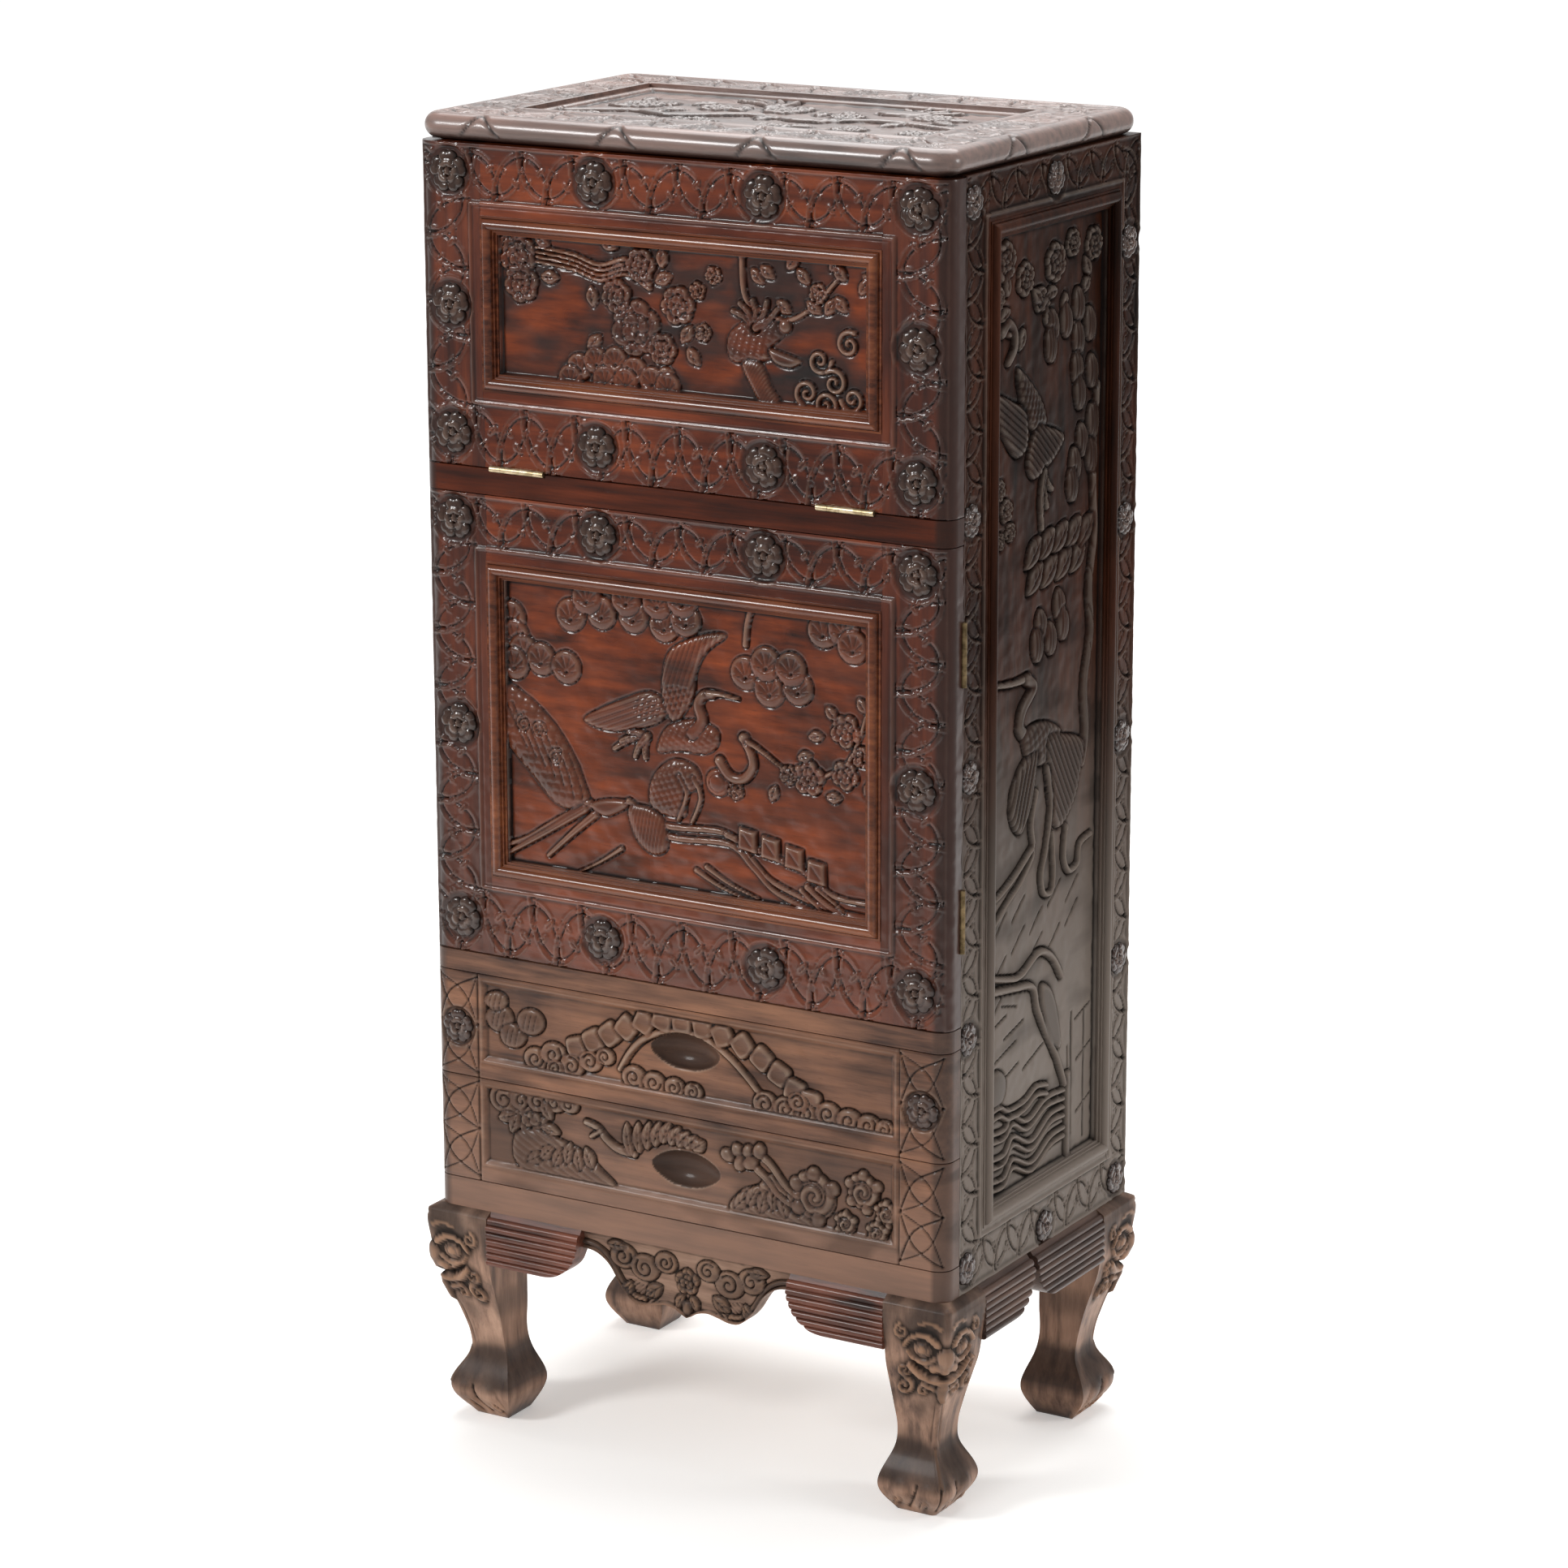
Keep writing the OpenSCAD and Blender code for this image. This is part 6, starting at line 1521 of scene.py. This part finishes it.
def drawPaw(c, wide):
    stroke(c, [(0, 72), (0, 54), (0, 38)], (2.0, 4.0), 1.6, 0.9)
    for toe in (-0.70, -0.24, 0.24, 0.70):
        x = toe * wide
        dome(c, (x, 24), (wide * 0.20, 16), 2.6, patina=0.2, squareness=0.7)
        stroke(c, [(x, 16), (x, 6)], (3.6, 1.6), 3.0, 0.1)
    for gap in (-0.47, 0.0, 0.47):
        x = gap * wide
        gouge(c, [(x * 0.9, 38), (x, 24), (x, 8)], (0.8, 2.2), 1.8)


def carveLeg(name, sx, sy, v):
    heights = np.linspace(v["tall"], 0, int(v["tall"] / v["levelMm"]) + 1)
    smooth = np.array([1, 2, 3, 4, 5, 4, 3, 2, 1]) / 25
    profiles = []
    for key in ("outer", "inner"):
        z, s = np.array(v[key], float).T
        profile = np.interp(-heights, -z, s)
        profile[4:-4] = np.convolve(profile, smooth, "valid")
        profiles.append(profile[:, None])
    outer, inner = profiles
    wide = inner - outer
    count = int(2 * v["widest"] / v["aroundMm"]) | 1
    share = np.linspace(-1, 1, count)
    c = canvasOn(wide * share[None], np.repeat(heights[:, None], count, 1), 2.0)
    drawMask(c)
    drawPaw(c, v["pawWide"])
    up = c["v"]
    c["high"] *= np.clip((232 - up) / 6, 0, 1) * np.clip((1 - np.abs(share)) * wide / 5, 0, 1)
    quirk = 1.4 * np.clip(1 - np.abs(np.abs(c["u"]) - 5) / 2.4, 0, 1)     # beside the shin's arris
    c["high"] -= quirk * np.clip((132 - up) / 12, 0, 1) * np.clip((up - 74) / 8, 0, 1)
    readHollows(c, 3.0)
    limit = np.minimum(c["high"], outer + v["reach"])
    patches = softNoise(c, 2, 4)
    patches *= 0.20 / patches.std()
    (kneeAt, kneeOver), (ankleAt, reach, fade) = v["rubbedAbove"], v["rubbedAnkle"]
    # the top of the knee and the band round the ankle are made darker, in patina and in the hollow channel
    darkened = np.clip((up - kneeAt) / kneeOver, 0, 1)
    darkened = darkened + np.clip((reach - np.abs(up - ankleAt)) / fade, 0, 1)
    c["patina"] = np.clip(c["patina"] * 0.8 + darkened + patches, 0, 1)
    c["hollow"] = np.maximum(c["hollow"], np.clip(0.30 * darkened + 0.5 * patches, 0, 1))
    c["crest"] = np.maximum(c["crest"], 0.8 * np.clip((26 - up) / 10, 0, 1) * (1 - c["hollow"]))
    r = v["arris"]
    arc = r * math.pi / 4
    turn = math.pi / 4 + np.clip(c["u"] / r, -math.pi / 4, math.pi / 4)
    more = np.clip(np.abs(c["u"]) - arc, 0, None) * (wide - r) / np.maximum(wide - arc, 1)
    p = outer + r - (r + limit) * np.sin(turn) + np.where(c["u"] < 0, more, 0)
    q = outer + r - (r + limit) * np.cos(turn) + np.where(c["u"] > 0, more, 0)
    p, q = np.maximum(p, -v["reach"]), np.maximum(q, -v["reach"])
    # round the section: face A, face B, then the two hidden faces back to the start
    t = np.linspace(0, 1, 9)[None, 1:-1]
    level = inner + 0 * t
    loopP = np.concatenate([p, outer + wide * t, inner, level], 1)
    loopQ = np.concatenate([q, level, inner, outer + wide * (1 - t)], 1)
    z = np.repeat(heights[:, None], loopP.shape[1], 1)
    co = np.stack([sx * (frontSkin["half"] - loopP), sy * (-frontSkin["face"] - loopQ), z], -1)
    nv, nu = z.shape
    index, quads = ringQuads(nv, nu, 0)
    side = np.roll(index, -1, 1)
    capTop = np.stack([index[0], side[0], np.full(nu, nv * nu)], -1)
    capLow = np.stack([side[-1], index[-1], np.full(nu, nv * nu + 1)], -1)
    faces = [quads, capTop, capLow]
    if sx * sy > 0:
        faces = [f[:, ::-1] for f in faces]
    centres = np.stack([co[0].mean(0), co[-1].mean(0)])
    hidden = np.zeros((nv, nu - count))
    values = {}
    for key in carried:
        rest = hidden + c[key][:, :1] if key == "patina" else hidden
        values[key] = np.concatenate([np.concatenate([c[key], rest], 1).ravel(), [0, 0]])
    obj = meshFrom(name + "_carved", np.vstack([co.reshape(-1, 3), centres]), faces, values)
    finishPiece(obj, wood("wornRosewoodLeg", "z"), "case", [name])


for name, sx, sy in (("leg_front_left", -1, -1), ("leg_front_right", 1, -1), ("leg_back_left", -1, 1),
                     ("leg_back_right", 1, 1)):
    carveLeg(name, sx, sy, legLook)
print("legs are carved")

# Apron: the grid follows the scalloped edge

apronLook = dict(
    outline=[(1, 0.26), (0.87, 0.29), (0.74, 0.44), (0.62, 0.75), (0.51, 0.92), (0.41, 0.945), (0.3, 0.9),
             (0.2, 0.87), (0.11, 0.9), (0.05, 0.96), (0, 1)],
    step=1.2, deep=3.4, proud=1.6, edgeCut=1.4, dark=0.30, marks=(0.12, 3.0, 3),
)


def drawApron(c, half):
    for way in (-1, 1):
        stroke(c, [(way * x * half, -z * 72 + 6) for x, z in apronLook["outline"][:6]], 2.6, 3.0)
        cloud(c, (way * 76, -20), 13, 3.9, 0.4, way, 0.7)
        cloud(c, (way * 50, -28), 14, 3.9, 2.4, -way, 0.7)
        cloud(c, (way * 25, -18), 11, 3.7, 0.8, way, 0.7)
        leaf(c, (way * 96, -10), 24, 6, math.pi if way > 0 else 0, 3.2)
        leaf(c, (way * 30, -44), 24, 8, -0.6 if way > 0 else math.pi + 0.6, 3.4)
        leaf(c, (way * 66, -46), 22, 7, -1.0 if way > 0 else math.pi + 1.0, 3.4)
        hatch(c, [(way * 34, -66), (way * 70, -64), (way * 72, -44), (way * 44, -50)], -way * 0.7, 4.0, 1.4)
        leaf(c, (way * 4, -48), 18, 6, -math.pi / 2 + way * 0.5, 3.8)
    blossom(c, (0, -34), 14, 5, 4.2, 0.3)
    dome(c, (0, -62), (6, 8), 4.0)


def carveApron(v):
    low, high = cornersOf("front_apron")
    half, tall = high[0], high[2] - low[2]
    edge = curve([(x * half, -z * tall) for x, z in v["outline"]])[::-1]     # from the middle out
    span = np.linspace(-half, half, int(2 * half / v["step"]) + 1)
    drop = np.interp(np.abs(span), edge[:, 0], edge[:, 1])
    nv = int(tall / v["step"]) + 1
    share = np.linspace(1, 0, nv)[:, None]
    c = canvasOn(np.repeat(span[None], nv, 0), share * drop[None], v["step"], outline=v["edgeCut"],
                 dark=v["dark"])
    drawApron(c, half)
    gouged(c, *v["marks"])
    away = np.clip(np.minimum(c["v"] - drop[None], -c["v"] / 2 + 1) / 2.5, 0, 1)
    c["high"] = np.minimum((c["high"] - v["deep"]) * away, v["proud"])
    c["patina"] *= away
    obj = boardFrom("front_apron_carved", c, flatFront(low[1], high[2]), backTo(1, high[1]))
    finishPiece(obj, wood("wornRosewoodLeg", "x"), "case", ["front_apron"])
    print("apron is carved")


carveApron(apronLook)

# Blossoms: one is modelled as petals round a knob, and Geometry Nodes set a
# copy in every well of a body, each turned a little

blossomLook = dict(
    radius=21.0, high=6.4, petals=5, rings=14, around=70, turnSpread=1.2, seed=3, knob=4.2,
    outer=(5, 0.0, 15.6, 6.6, 0.3),      # petals, shift, middle of the ring, half width, notch
    inner=(3, 0.5, 8.4, 5.2, 0.2),
)


def petalRing(r, a, count, shift, at, wide, notch):
    # petals that overlap round the flower: each rises to one side and ends in
    # a notched edge
    turn = ((a + shift) * count / (2 * math.pi)) % 1
    lobe = np.sin(np.pi * turn) ** 0.45 * (1 - notch * np.exp(-((turn - 0.5) / 0.10) ** 2))
    across = np.clip(1 - ((r - at) / (wide * (0.55 + 0.45 * lobe))) ** 2, 0, 1)
    return np.sqrt(across) * (0.50 + 0.35 * turn + 0.15 * lobe)


def blossomMesh(v):
    r = np.linspace(0, 1, v["rings"] + 1)[1:, None] * v["radius"]
    a = np.linspace(0, 2 * math.pi, v["around"], endpoint=False)[None]
    turn = (a * v["petals"] / (2 * math.pi)) % 1
    notch = 0.07 * np.exp(-((turn - 0.5) / 0.08) ** 2) * (r > 12)
    reach = r * (0.84 + 0.16 * np.sin(np.pi * turn) ** 0.5 - notch)
    outer = 0.70 * petalRing(r, a, *v["outer"])
    inner = 0.92 * petalRing(r, a, *v["inner"])
    knob = np.sqrt(np.clip(1 - (r / v["knob"]) ** 2, 0, 1)) * (0.9 + 0.12 * np.sin(2 * a))
    high = np.maximum.reduce([outer, inner, knob]) * v["high"]
    x, y = reach * np.cos(a), reach * np.sin(a)
    grid = np.stack([x, y, high], -1).reshape(-1, 3)
    n, m = high.shape
    index, quads = ringQuads(n, m, 1)
    side = np.roll(index, -1, 1)
    heart = np.stack([np.zeros(m, int), index[0], side[0]], -1)
    rim = grid[-m:] * (1, 1, 0) + (0, 0, -0.8)
    rimIndex = 1 + n * m + np.arange(m)
    wall = fourOf(index[-1], rimIndex, np.roll(rimIndex, -1), side[-1])
    cap = np.stack([rimIndex, np.full(m, 1 + n * m + m), np.roll(rimIndex, -1)], -1)
    co = np.vstack([[(0, 0, v["high"])], grid, rim, [(0, 0, -0.8)]])
    top = high / v["high"]
    # painted shade low between the petals and down the rim's wall, painted highlight on the petals' tops
    hollow = np.concatenate([[0], np.clip(1.1 - 2.4 * top, 0, 1).ravel(), np.ones(m), [1]])
    crest = np.concatenate([[1], np.clip(top * 2.2 - 1.1, 0, 1).ravel(), np.zeros(m), [0]])
    values = dict(hollow=hollow, crest=crest, patina=np.ones(len(co)))
    return meshFrom("blossom_pattern", co, [quads, heart, wall, cap], values)


def blossomTree(material):
    tree = bpy.data.node_groups.new("set_blossoms", "GeometryNodeTree")
    names = {}
    tree.interface.new_socket("Geometry", in_out="INPUT", socket_type="NodeSocketGeometry")
    for label, kind in (("Blossom", "NodeSocketObject"), ("Turn Spread", "NodeSocketFloat"),
                        ("Seed", "NodeSocketInt")):
        names[label] = tree.interface.new_socket(label, in_out="INPUT", socket_type=kind).identifier
    tree.interface.new_socket("Geometry", in_out="OUTPUT", socket_type="NodeSocketGeometry")
    given = addNode(tree, "NodeGroupInput")
    facing = addNode(tree, "GeometryNodeInputNamedAttribute", {"Name": "facing"}, data_type="FLOAT_VECTOR")
    size = addNode(tree, "GeometryNodeInputNamedAttribute", {"Name": "size"}, data_type="FLOAT")
    aim = addNode(tree, "FunctionNodeAlignRotationToVector", links={"Vector": facing.outputs["Attribute"]},
                  axis="Z")
    pattern = addNode(tree, "GeometryNodeObjectInfo", links={"Object": given.outputs["Blossom"]})
    placed = addNode(tree, "GeometryNodeInstanceOnPoints",
                     links={"Points": given.outputs["Geometry"], "Instance": pattern.outputs["Geometry"],
                            "Rotation": aim.outputs[0], "Scale": size.outputs["Attribute"]})
    most = given.outputs["Turn Spread"]
    back = addNode(tree, "ShaderNodeMath", {1: -1.0}, {0: most}, operation="MULTIPLY")
    spread = addNode(tree, "FunctionNodeRandomValue", data_type="FLOAT",
                     links={"Min": back.outputs[0], "Max": most, "Seed": given.outputs["Seed"]})
    turn = addNode(tree, "ShaderNodeCombineXYZ", links={"Z": spread.outputs[1]})
    turned = addNode(tree, "GeometryNodeRotateInstances",
                     links={"Instances": placed.outputs[0], "Rotation": turn.outputs[0]})
    real = addNode(tree, "GeometryNodeRealizeInstances", links={0: turned.outputs[0]})
    finish = addNode(tree, "GeometryNodeSetMaterial", {"Material": material}, {"Geometry": real.outputs[0]})
    addNode(tree, "NodeGroupOutput", links={"Geometry": finish.outputs[0]})
    return tree, names


def setBlossoms(body, places, pattern, tree, names, v):
    mesh = bpy.data.meshes.new(body + "_wells")
    mesh.from_pydata([tuple(np.array(at) * mm) for at, _, _ in places], [], [])
    facing = mesh.attributes.new("facing", "FLOAT_VECTOR", "POINT")
    facing.data.foreach_set("vector", np.array([way for _, way, _ in places], np.float32).ravel())
    size = mesh.attributes.new("size", "FLOAT", "POINT")
    size.data.foreach_set("value", np.array([r / v["radius"] for _, _, r in places], np.float32))
    wells = putIn(body + "_wells", mesh)
    modifier = wells.modifiers.new("blossoms", "NODES")
    modifier.node_group = tree
    modifier[names["Blossom"]] = pattern
    modifier[names["Turn Spread"]] = v["turnSpread"]
    modifier[names["Seed"]] = v["seed"]
    ready = wells.evaluated_get(bpy.context.evaluated_depsgraph_get())
    made = bpy.data.meshes.new_from_object(ready)
    bpy.data.objects.remove(wells)
    obj = putIn(body + "_blossoms", made)
    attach(obj, body)


pattern = blossomMesh(blossomLook)
for body, places in rosettes.items():
    if places:
        tree, names = blossomTree(wood("carvedBlossomRosewood"))
        setBlossoms(body, places, pattern, tree, names, blossomLook)
bpy.data.objects.remove(pattern)
print("blossoms are set")
